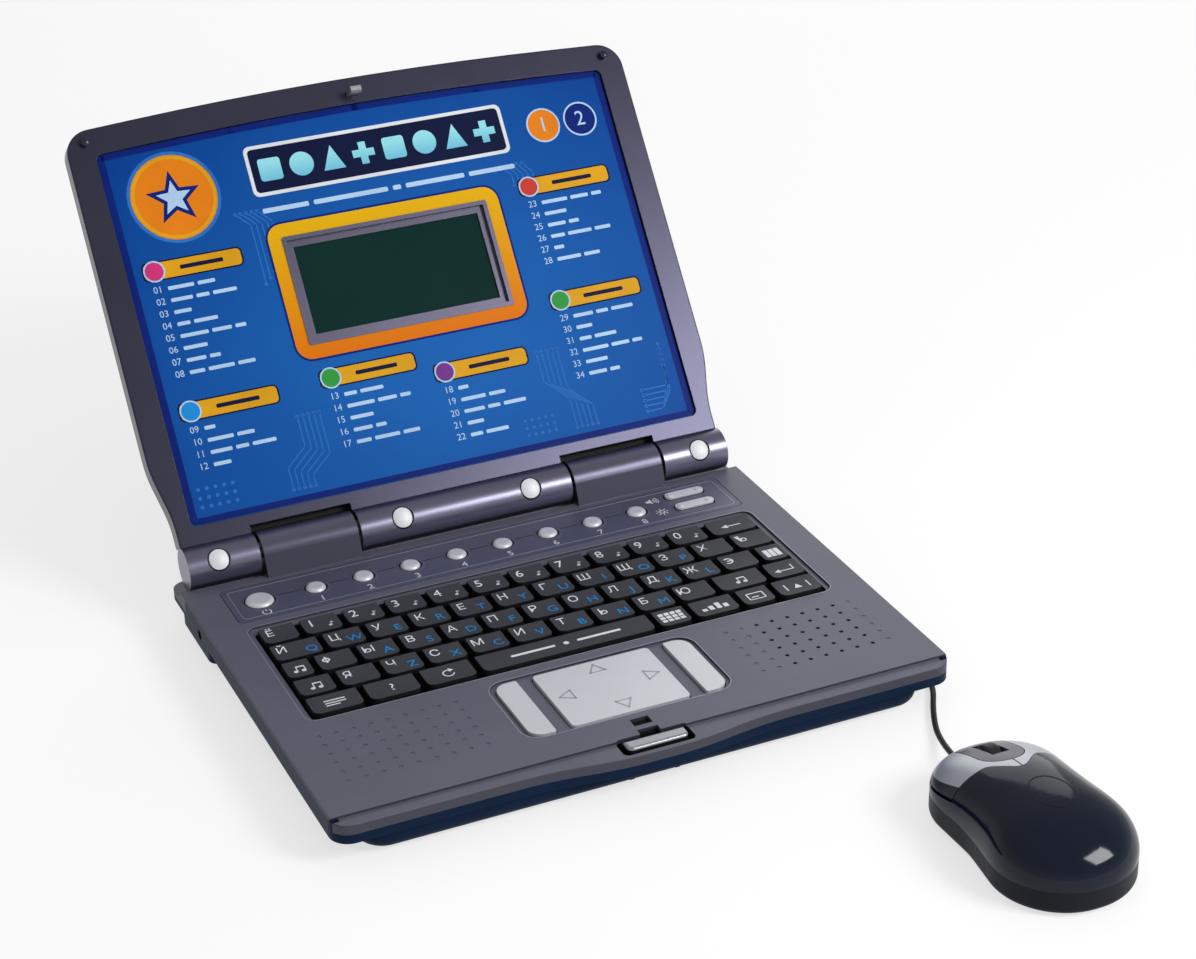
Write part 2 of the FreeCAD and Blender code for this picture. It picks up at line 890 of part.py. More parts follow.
def make_top_shell():
    """Grey deck with its front skirt, openings, hinge trough and the two base knuckles."""
    part = body("base_top_shell")
    pad(part, [base_outline(0)], wall_top, d.deck_edge)
    fillet(part, d.deck_round, flat_at(deck))
    plate_inset = d.shell_wall + d.shell_fit
    pad(part, [base_outline(plate_inset)], deck_under, d.deck_thickness - d.deck_edge)
    skirt_inset = d.shell_wall + d.skirt_overlap
    skirt_end = front + d.skirt_run
    skirt = [Corner(-side, skirt_end, 0)] + front_edge(size(0)) + [Corner(side, skirt_end, 0)]
    skirt += [Corner(side - skirt_inset, skirt_end, 0)] + front_edge(skirt_inset)[::-1]
    skirt += [Corner(skirt_inset - side, skirt_end, 0)]
    pad(part, [skirt], skirt_low, wall_top - skirt_low)
    ends = [
        span(-side - past, skirt_inset - side, front + d.skirt_end, skirt_end + past),
        span(side - skirt_inset, side + past, front + d.skirt_end, skirt_end + past),
    ]
    pocket(part, ends, wall_top, wall_top - skirt_low)

    # Trough that the lid barrels turn in
    floor = span(-side, side, trough_front, back, 0)
    floor[2] = Corner(side, back, d.back_corner)
    floor[3] = Corner(-side, back, d.back_corner)
    pad(part, [floor], trough_low, wall_top - trough_low)
    width = d.base_width + past * 2
    start = width / 2
    pocket(part, [Ring(axis_y, axis_z, trough_radius)], start, width, "YZ_Plane")
    above = span(axis_y, back + past, trough_floor, deck + past)
    pocket(part, [above], start, width, "YZ_Plane")

    # Base knuckles with the aprons that run down to the deck
    tangent_y = axis_y - d.barrel_radius * sine(d.apron_angle)
    tangent_z = axis_z + d.barrel_radius * cosine(d.apron_angle)
    foot = wall_top
    foot_y = tangent_y - (tangent_z - foot) * cosine(d.apron_angle) / sine(d.apron_angle)
    heel = axis_y + d.barrel_radius
    apron = [
        Corner(foot_y, foot, 0),
        Corner(axis_y, trough_low, 0),
        Corner(heel, trough_low, 0),
        Corner(heel, axis_z, 0),
        Corner(tangent_y, tangent_z, 0),
    ]
    for start in (-knuckle_far, knuckle_near):
        pad(part, [Ring(axis_y, axis_z, d.barrel_radius)], start, d.knuckle_width, "YZ_Plane")
        pad(part, [apron], start, d.knuckle_width, "YZ_Plane")
        pin = Ring(axis_y, axis_z, d.pin_radius + d.pin_clearance)
        pocket(part, [pin], start + d.knuckle_width, d.knuckle_width, "YZ_Plane")

    # Lower lip along the front edge
    lip = span(-side - past, side + past, front - d.bulge_depth - past, front + d.lip_depth)
    pocket(part, [lip], deck, d.lip_drop)
    at_lip = flat_at(deck - d.lip_drop)
    step = (front + d.lip_depth).number - 0.01
    fillet(part, d.lip_round, lambda edge: at_lip(edge) and edge.BoundBox.YMin < step)

    # Keyboard well: a ledge around an opening with walls below the deck
    walls = d.well_wall * 2
    wall_low = sheet_top
    rim = rectangle(0, well_middle, d.well_width + walls, d.well_depth + walls, d.well_corner + d.well_wall)
    pad(part, [rim], wall_low, deck_under - wall_low)
    ledge = span(
        -d.well_width / 2 - d.ledge_side,
        d.well_width / 2 + d.ledge_side,
        front + d.well_front - d.ledge_front,
        front + d.well_front + d.well_depth + d.ledge_back,
        d.well_corner + d.ledge_side / 2,
    )
    pocket(part, [ledge], deck, d.ledge_drop)
    opening = rectangle(0, well_middle, d.well_width, d.well_depth, d.well_corner)
    pocket(part, [opening], deck, deck - wall_low)

    # Seat of the function panel and the holes under it
    seat_width, seat_depth = d.panel_width + d.panel_fit * 2, d.panel_depth + d.panel_fit * 2
    seat = rectangle(0, panel_middle, seat_width, seat_depth, d.panel_corner + d.panel_fit)
    pocket(part, [seat], deck, d.panel_thickness)
    pocket(part, panel_holes(d.button_gap), deck, d.deck_thickness)

    # Recess of the direction pad and its side buttons
    recess_middle = front + d.recess_front + d.recess_depth / 2
    recess = rectangle(0, recess_middle, d.recess_width, d.recess_depth, d.recess_corner)
    pocket(part, [recess], deck, d.recess_drop)
    plates = [pad_outline(d.pad_gap)] + [side_outline(hand, d.pad_gap) for hand in (-1, 1)]
    pocket(part, plates, deck, d.deck_thickness)

    # Speaker grille with the shallow dimples around it, and the dimples of the left palm rest
    count, columns = int(d.grille_count.number), int(d.dimple_columns.number)
    places = [d.grille_side + d.grille_pitch * (i - d.dimple_start) for i in range(columns)]
    first = int(d.dimple_start.number)
    through = places[first:first + count]
    shallow = places[:first] + places[first + count:] + [-x for x in places]
    for spots, depth in ((through, d.deck_thickness), (shallow, d.dimple_depth)):
        row = [Ring(x, front + d.grille_front, d.grille_radius) for x in spots]
        hole = pocket(part, row, deck, depth)
        pattern = part.newObject("PartDesign::LinearPattern", "GrilleRows")
        pattern.Originals = [hole]
        pattern.Direction = (hole.Profile[0], ["V_Axis"])
        bind(pattern, Length=d.grille_row_pitch * (d.grille_count - 1), Occurrences=d.grille_count)
        part.Tip = pattern

    # Latch opening with its throat for the hook, the relief that the slider runs in and the slot behind it
    half = d.latch_opening / 2
    opening_front, opening_back = front + d.latch_opening_front, front + d.latch_opening_back
    opening = span(-half, half, opening_front, opening_back, d.latch_bar_corner)
    pocket(part, [opening], deck, d.deck_thickness)
    throat = d.latch_throat / 2
    hook_room = span(-throat, throat, opening_front + d.latch_bar_depth, front + d.latch_throat_back)
    pocket(part, [hook_room], deck, d.deck_thickness)
    relief = span(-half, half, opening_front + d.latch_bar_depth, front + d.latch_relief_back)
    pocket(part, [relief], deck_under, d.latch_relief, along=True)
    slot_middle = front + d.switch_slot_front + d.switch_slot_depth / 2
    slot = rectangle(0, slot_middle, d.switch_slot_width, d.switch_slot_depth)
    pocket(part, [slot], deck, d.deck_thickness)

    # Screw bosses
    boss_low = rim_floor + d.shell_fit
    bosses = [Ring(x, y, d.boss_radius) for x, y in screw_spots]
    pad(part, bosses, boss_low, deck_under - boss_low)
    threads = [Ring(x, y, d.screw_radius + d.shell_fit) for x, y in screw_spots]
    pocket(part, threads, boss_low, deck_under - boss_low, along=True)


def panel_holes(gap):
    """Openings of the power button, the round buttons and the two rockers."""
    holes = [Ring(d.power_side, button_y, d.power_radius + gap)]
    holes += [Ring(x, button_y, d.button_radius + gap) for x in button_spots]
    length, width = d.rocker_length + d.rocker_gap * 2, d.rocker_width + d.rocker_gap * 2
    for row in rocker_rows.values():
        holes.append(rectangle(d.rocker_side, row, length, width, d.rocker_width / 2))
    return holes


def pad_outline(gap):
    gap = size(gap)
    return rectangle(0, pad_middle, d.pad_width + gap * 2, d.pad_depth + gap * 2, d.pad_corner + gap)


def side_outline(hand, gap):
    """A side button's outline with its outer corners well rounded; hand is -1 for left, 1 for right."""
    gap = size(gap)
    half, high = d.side_width / 2 + gap, d.pad_depth / 2 + gap
    middle = d.side_offset * hand
    outer, inner = d.side_corner + gap, size(0.8) + gap
    left, right = (outer, inner) if hand < 0 else (inner, outer)
    return [
        Corner(middle - half, pad_middle - high, left),
        Corner(middle + half, pad_middle - high, right),
        Corner(middle + half, pad_middle + high, right),
        Corner(middle - half, pad_middle + high, left),
    ]


def make_bottom_shell():
    """Navy tray: rim, inset belly, socket bulge, battery opening, rails and posts."""
    part = body("base_bottom_shell")
    pad(part, [base_outline(0)], rim_low, wall_top - rim_low)
    pad(part, [belly_outline(0)], belly_low, rim_low - belly_low)
    fillet(part, d.belly_edge_round, flat_at(belly_low))
    bulge_low = deck - d.bulge_socket_drop
    bulge = span(
        -side,
        d.bulge_socket_reach - side,
        front + d.bulge_socket_front,
        front + d.bulge_socket_back,
        d.belly_edge_round,
    )
    pad(part, [bulge], bulge_low, rim_low - bulge_low)
    pocket(part, [base_outline(d.shell_wall)], wall_top, wall_top - rim_floor)
    pocket(part, [belly_outline(d.shell_wall)], rim_floor, rim_floor - belly_floor)
    ahead = span(-side - past, side + past, front - d.bulge_depth - past, front + d.skirt_end + d.shell_fit)
    pocket(part, [ahead], wall_top, wall_top - skirt_low)
    behind = span(-side - past, side + past, trough_front - d.shell_fit, back + past)
    pocket(part, [behind], wall_top, wall_top - trough_low)

    # Socket hole through the side, with the room behind it
    socket_y, socket_z = front + d.socket_row, deck - d.socket_drop
    hole = Ring(socket_y, socket_z, d.socket_nose_radius + d.socket_fit)
    pocket(part, [hole], -side, d.shell_wall, "YZ_Plane", along=True)
    room = d.socket_body_radius + d.socket_fit
    chamber = span(
        d.shell_wall - side,
        d.shell_wall + d.socket_body_length + d.socket_fit - side,
        socket_y - room,
        socket_y + room,
    )
    pocket(part, [chamber], rim_floor, rim_floor - (socket_z - room))
    outlet = Ring(front + d.outlet_row, d.outlet_height, d.outlet_radius + d.shell_fit)
    pocket(part, [outlet], side - d.belly_side_inset, d.shell_wall, "YZ_Plane")

    # Battery opening and the inner wall of the battery box
    pocket(part, [door_outline(0)], belly_floor, d.shell_wall)
    seat = belly_floor - d.shell_wall / 2
    box_right = d.cell_side + d.door_length / 2
    wall = span(
        box_right,
        box_right + d.box_wall,
        front + d.cell_middle - d.door_depth / 2,
        front + d.cell_middle + d.door_depth / 2,
    )
    pad(part, [wall], seat, board_low - seat)

    # Rails under the latch slider, the spring's anchor and the posts of the board
    rail_top = latch_plate_low - d.latch_rail_gap
    for hand in (-1, 1):
        middle = d.rail_offset * hand
        reach = d.rail_width / 2
        rail_start = front + d.belly_front_inset + d.rail_front
        rail = span(middle - reach, middle + reach, rail_start, front + d.rail_back)
        pad(part, [rail], seat, rail_top - seat)
    anchor_front = front + d.latch_plate_back + d.spring_length
    reach = d.spring_radius * 2
    anchor = span(-reach, reach, anchor_front, anchor_front + d.anchor_thickness)
    pad(part, [anchor], seat, deck_under - d.latch_rail_gap - seat)
    pad(part, [Ring(x, y, d.post_radius) for x, y in board_posts()], seat, board_low - seat)

    # Screw holes with seats for the heads
    holes = [Ring(x, y, d.screw_radius + d.screw_fit) for x, y in screw_spots]
    pocket(part, holes, rim_floor, d.shell_wall)
    seats = [Ring(x, y, d.screw_head_radius + d.screw_fit) for x, y in screw_spots]
    pocket(part, seats, rim_low, d.screw_head_height, along=True)


def board_posts():
    """Places of the posts that carry the main board."""
    across = d.board_half_width - d.post_radius * 3
    rows = (front + d.well_front + d.post_radius * 3, front + d.board_back - d.post_radius * 3)
    posts = [(x, y) for x in (-across, across) for y in rows]
    return posts + [(0, front + d.board_front + d.post_radius * 2)]


def door_outline(gap):
    gap = size(gap)
    length, depth = d.door_length - gap * 2, d.door_depth - gap * 2
    return rectangle(d.cell_side, front + d.cell_middle, length, depth, d.door_corner)


def make_fixed_pieces():
    """Pieces that stay put in and under the base."""
    door = body("battery_door")
    pad(door, [door_outline(d.door_gap)], belly_low, d.door_thickness)
    cell_low = belly_low + d.door_thickness
    cell_left = d.cell_side - d.cell_length / 2
    cells, contacts = [], []
    first = front + d.cell_middle - d.cell_pitch * (d.cell_count - 1) / 2
    for i in range(int(d.cell_count.number)):
        y = first + d.cell_pitch * i
        z = cell_low + d.cell_radius
        can = cylinder(f"can_{i}", d.cell_radius, d.cell_length - d.cell_nub, cell_left, y, z, Y_AXIS, 90)
        tip_x = cell_left + d.cell_length - d.cell_nub
        tip = cylinder(f"tip_{i}", d.nub_radius, d.cell_nub, tip_x, y, z, Y_AXIS, 90)
        cells.append(fuse(f"cell_{i}", [can, tip]))
        low = z - d.contact_height / 2
        for end, x in (("minus", cell_left - d.contact_thickness), ("plus", cell_left + d.cell_length)):
            name = f"contact_{end}_{i}"
            near = y - d.contact_width / 2
            contacts.append(box(name, x, near, low, d.contact_thickness, d.contact_width, d.contact_height))
    group("batteries", cells)
    group("battery_contacts", contacts)

    board = body("main_board")
    shoulder = front + d.well_front + d.post_radius
    outline = [
        Corner(-d.board_half_width, shoulder, 0),
        Corner(-d.board_tongue, shoulder, 0),
        Corner(-d.board_tongue, front + d.board_front, 0),
        Corner(d.board_tongue, front + d.board_front, 0),
        Corner(d.board_tongue, shoulder, 0),
        Corner(d.board_half_width, shoulder, 0),
        Corner(d.board_half_width, front + d.board_back, 0),
        Corner(-d.board_half_width, front + d.board_back, 0),
    ]
    pad(board, [outline], board_low, d.board_thickness)
    sheet = body("keypad_membrane")
    edge = d.well_width / 2 - d.sheet_inset
    wide = list(outline)
    for i in (0, 7):
        wide[i] = Corner(-edge, outline[i].y, 0)
    for i in (5, 6):
        wide[i] = Corner(edge, outline[i].y, 0)
    pad(sheet, [wide], sheet_low, d.sheet_thickness)

    panel = body("function_panel")
    pad(
        panel,
        [rectangle(0, panel_middle, d.panel_width, d.panel_depth, d.panel_corner)],
        deck - d.panel_thickness,
        d.panel_thickness,
    )
    pocket(panel, panel_holes(d.button_gap), deck, d.panel_thickness)

    reach = d.grille_count - 1
    speaker_x = d.grille_side + d.grille_pitch * reach / 2
    speaker_y = front + d.grille_front + d.grille_row_pitch * reach / 2
    frame_low = -d.speaker_frame
    speaker = turned("speaker", [
        Corner(0, -d.speaker_depth, 0),
        Corner(d.speaker_magnet_radius, -d.speaker_depth, 0),
        Corner(d.speaker_magnet_radius, frame_low, 0),
        Corner(d.speaker_radius, frame_low, 0),
        Corner(d.speaker_radius, 0, 0),
        Corner(d.speaker_radius - d.speaker_frame, 0, 0),
        Corner(d.speaker_magnet_radius / 2, frame_low, 0),
        Corner(0, frame_low, 0),
    ])
    place(speaker, speaker_x, speaker_y, deck_under)

    feet = []
    for name, x, y in (
        ("front_left", -d.foot_side, d.foot_front),
        ("front_right", d.foot_side, d.foot_front),
        ("back_left", -d.foot_side, d.foot_back),
        ("back_right", d.foot_side, d.foot_back),
    ):
        outline = rectangle(x, front + y, d.foot_length, d.foot_width, d.foot_width / 2 - d.shell_fit)
        feet.append(extrusion(f"foot_{name}", [outline], 0, belly_low))
    group("rubber_feet", feet)

    screws = []
    for i, (x, y) in enumerate(screw_spots):
        head = cylinder(f"head_{i}", d.screw_head_radius, d.screw_head_height, x, y, rim_low)
        shank = cylinder(f"shank_{i}", d.screw_radius, deck_under - rim_low, x, y, rim_low)
        screws.append(fuse(f"screw_{i}", [head, shank]))
    group("base_screws", screws)

    pins = []
    length = d.knuckle_width + (d.knuckle_gap + d.pin_reach) * 2
    for name, middle in (("left", -d.knuckle_middle), ("right", d.knuckle_middle)):
        start = middle - length / 2
        pins.append(cylinder(f"pin_{name}", d.pin_radius, length, start, axis_y, axis_z, Y_AXIS, 90))
    group("hinge_pins", pins)


def make_sockets():
    """Power socket on the left and the mouse cord's outlet on the right."""
    y, z = front + d.socket_row, deck - d.socket_drop
    wall, end = d.shell_wall, d.shell_wall + d.socket_body_length
    socket = turned("dc_socket", [
        Corner(d.socket_bore, 0, 0),
        Corner(d.socket_nose_radius, 0, 0),
        Corner(d.socket_nose_radius, wall, 0),
        Corner(d.socket_body_radius, wall, 0),
        Corner(d.socket_body_radius, end, 0),
        Corner(0, end, 0),
        Corner(0, wall, 0),
        Corner(d.socket_pin, wall, 0),
        Corner(d.socket_pin, d.socket_bore_depth, 0),
        Corner(d.socket_bore, d.socket_bore_depth, 0),
    ])
    place(socket, -side, y, z, Y_AXIS, 90)
    flange = d.outlet_flange_thickness
    outlet = turned("cord_outlet", [
        Corner(0, -d.shell_wall, 0),
        Corner(d.outlet_radius, -d.shell_wall, 0),
        Corner(d.outlet_radius, 0, 0),
        Corner(d.outlet_flange, 0, 0),
        Corner(d.outlet_flange, flange, 0),
        Corner(d.relief_root, flange, 0),
        Corner(d.relief_tip, d.outlet_nose, 0),
        Corner(0, d.outlet_nose, 0),
    ])
    place(outlet, side - d.belly_side_inset, front + d.outlet_row, d.outlet_height, Y_AXIS, 90)


def make_keys():
    """Five rows of tapered, dished key caps on stems; the space bar is a piece of its own."""
    pitch = d.well_depth / len(ROW_NAMES)
    top_row = front + d.well_front + d.well_depth - pitch / 2
    number, top, home = [d.number_first], [d.top_first], [d.home_first]
    number += [d.key_unit] * 10
    top += [d.key_unit] * 10
    home += [d.home_unit] * 11
    bottom = [d.bottom_first] + [d.key_unit] * 9 + [d.bottom_wide]
    command = [d.command_wide] * 3 + [d.space_cell, d.command_small, d.command_middle, d.command_small]
    for i, (name, cells) in enumerate(zip(ROW_NAMES, (number, top, home, bottom, command))):
        total = size(0)
        for cell in cells:
            total = total + cell
        cells = cells + [d.well_width - total]
        make_key_row(name, cells, top_row - pitch * i, pitch)


def make_key_row(name, cells, y, pitch):
    left = -d.well_width / 2
    depth = pitch - d.key_gap / 2
    caps = []
    for i, cell in enumerate(cells):
        x = left + cell / 2
        left = left + cell
        cap = make_key(f"{name}_key_{i}", x, y, cell - d.key_gap, depth)
        if cell is d.space_cell:
            node("space_bar", cap)
        else:
            caps.append(cap)
    row = doc.addObject("Part::Compound", f"{name}_caps")
    row.Links = caps
    chord = depth - d.key_gap
    radius = chord * chord / (d.key_dish * 8)
    height = deck + d.key_rise - d.key_dish + radius
    dish = cylinder(f"{name}_dish", radius, d.well_width, -d.well_width / 2, y, height, Y_AXIS, 90)
    node(f"{name}_row_keys", cut(f"{name}_row", row, dish))


def make_key(name, x, y, width, depth):
    low = deck + d.key_rise - d.key_height
    outline = rectangle(x, y, width, depth, d.key_front_corner)
    outline[2] = Corner(outline[2].x, outline[2].y, d.key_back_corner)
    outline[3] = Corner(outline[3].x, outline[3].y, d.key_back_corner)
    cap = extrusion(f"{name}_cap", [outline], low, d.key_height, d.key_draft)
    half = d.key_stem / 2
    stem = box(f"{name}_stem", x - half, y - half, sheet_top, d.key_stem, d.key_stem, low - sheet_top)
    return fuse(name, [cap, stem])


def make_round_button(label, x, radius):
    """A domed button with a stem that stands on the membrane."""
    top = deck + d.button_rise
    low = top - d.button_height
    button = turned(label, [
        Corner(0, sheet_top, 0),
        Corner(d.button_stem, sheet_top, 0),
        Corner(d.button_stem, low, 0),
        Corner(radius, low, 0),
        Corner(radius, top, d.button_round),
        Corner(0, top, 0),
    ])
    place(button, x, button_y, 0)


def make_rocker(label, y):
    """An oblong rocker with a bump at each end, standing on a blade."""
    rocker = body(label)
    top = deck + d.rocker_rise
    low = top - d.rocker_height
    x = d.rocker_side
    outline = rectangle(x, y, d.rocker_length, d.rocker_width, d.rocker_width / 2 - d.shell_fit)
    pad(rocker, [outline], low, d.rocker_height)
    reach = d.rocker_length / 2 - d.rocker_width / 2
    bumps = [Ring(x - reach, y, d.rocker_bump), Ring(x + reach, y, d.rocker_bump)]
    pad(rocker, bumps, low, d.rocker_height + d.bump_height)
    blade = rectangle(x, y, d.rocker_blade, d.rocker_width / 2)
    pad(rocker, [blade], sheet_top, low - sheet_top)


def make_buttons():
    make_round_button("power_button", d.power_side, d.power_radius)
    for i, x in enumerate(button_spots, 1):
        make_round_button(f"function_button_{i}", x, d.button_radius)
    for label, y in rocker_rows.items():
        make_rocker(label, y)

    # Direction pad on its ball, and the two side buttons
    top = deck + d.pad_rise
    low = top - d.pad_thickness
    plate = body("direction_pad")
    pad(plate, [pad_outline(0)], low, d.pad_thickness)
    nub_low = sheet_top + d.nub_gap
    across = pad_middle
    nubs = [
        rectangle(0, across + d.nub_reach, d.nub_size, d.nub_size),
        rectangle(0, across - d.nub_reach, d.nub_size, d.nub_size),
        rectangle(d.nub_reach, across, d.nub_size, d.nub_size),
        rectangle(-d.nub_reach, across, d.nub_size, d.nub_size),
    ]
    pad(plate, nubs, nub_low, low - nub_low)
    ball = sheet_top + d.pivot_radius
    seat_top = ball + d.pivot_radius + d.pivot_fit
    pocket(plate, [Ring(0, pad_middle, d.pivot_radius + d.pivot_fit)], low, seat_top - low, along=True)
    pivot = doc.addObject("Part::Sphere", "pad_pivot")
    bind(pivot, Radius=d.pivot_radius)
    place(pivot, 0, pad_middle, ball)
    node("pad_pivot", pivot)
    for label, hand in (("left_pad_button", -1), ("right_pad_button", 1)):
        button = body(label)
        pad(button, [side_outline(hand, 0)], low, d.pad_thickness)
        stem = rectangle(d.side_offset * hand, pad_middle, d.key_stem, d.key_stem)
        pad(button, [stem], sheet_top, low - sheet_top)


def make_latch():
    """Sliding latch bar with the window that the lid's hook drops into, and its spring."""
    release = body("latch_release")
    half = d.latch_bar_width / 2
    bar_front = front + d.latch_bar_front
    bar_back = bar_front + d.latch_bar_depth
    bar = span(-half, half, bar_front, bar_back, d.latch_bar_corner)
    bar[2] = Corner(half, bar_back, 0)
    bar[3] = Corner(-half, bar_back, 0)
    bar_top = deck + d.latch_bar_rise
    pad(release, [bar], latch_plate_low, bar_top - latch_plate_low)
    fillet(release, d.latch_bar_round, flat_at(bar_top))
    plate = span(-half, half, bar_front + d.latch_bar_corner, front + d.latch_plate_back)
    pad(release, [plate], latch_plate_low, d.latch_plate_thickness)
    reach = d.latch_window_width / 2
    window = span(-reach, reach, bar_back, front + d.latch_window_back)
    pocket(release, [window], latch_plate_top, d.latch_plate_thickness)
    spring_z = deck_under - d.spring_radius - d.latch_rail_gap
    lip = latch_plate_low - spring_z + d.spring_radius
    tail_front = front + d.latch_window_back + d.latch_plate_thickness
    tail = span(-d.spring_radius, d.spring_radius, tail_front, front + d.latch_plate_back)
    pad(release, [tail], latch_plate_low - lip, lip)

    spring = doc.addObject("Part::Feature", "latch_spring")
    coil = d.spring_radius.number - d.spring_wire.number / 2
    travel = d.spring_length.number - d.spring_wire.number
    helix = Part.makeHelix(travel / d.spring_turns.number, travel, coil)
    wire = Part.Wire(helix.Edges)
    start = Vector(coil, 0, 0)
    ring = Part.Wire(Part.makeCircle(d.spring_wire.number / 2, start, Vector(0, 1, 0)))
    spring.Shape = wire.makePipeShell([ring], True, True)
    spring_y = front + d.latch_plate_back + d.spring_wire / 2
    place(spring, 0, spring_y, spring_z, X_AXIS, -90)
    node("latch_spring", spring)


def lid_outline(inset, low):
    """Lid seen from its screen side: waisted above the hinge and bowed along the top."""
    inset = size(inset)
    waist, half = d.lid_waist_width / 2 - inset, d.lid_width / 2 - inset
    top = d.lid_top - inset
    corner = d.lid_corner - inset
    return [
        Corner(-waist, low, 0),
        Corner(waist, low, 0),
        Corner(waist, d.lid_waist_low, d.lid_waist_round),
        Corner(half, d.lid_waist_high, d.lid_waist_round),
        Corner(half, top, corner),
        Corner(0, top + d.lid_peak, d.lid_peak_round),
        Corner(-half, top, corner),
        Corner(-half, d.lid_waist_high, d.lid_waist_round),
        Corner(-waist, d.lid_waist_low, d.lid_waist_round),
    ]


def window_outline(inset):
    """Opening of the bezel, bowed along the top like the lid."""
    inset = size(inset)
    half, top = d.window_width / 2 - inset, d.window_high - inset
    return [
        Corner(-half, d.window_low + inset, d.window_corner),
        Corner(half, d.window_low + inset, d.window_corner),
        Corner(half, top, d.window_corner),
        Corner(0, top + d.window_peak, d.lid_peak_round),
        Corner(-half, top, d.window_corner),
    ]


def on_lid(thing):
    """Leans a piece of the lid back to its open stop about the hinge axis."""
    place(thing, 0, axis_y, axis_z, X_AXIS, 180 - d.opening_angle)


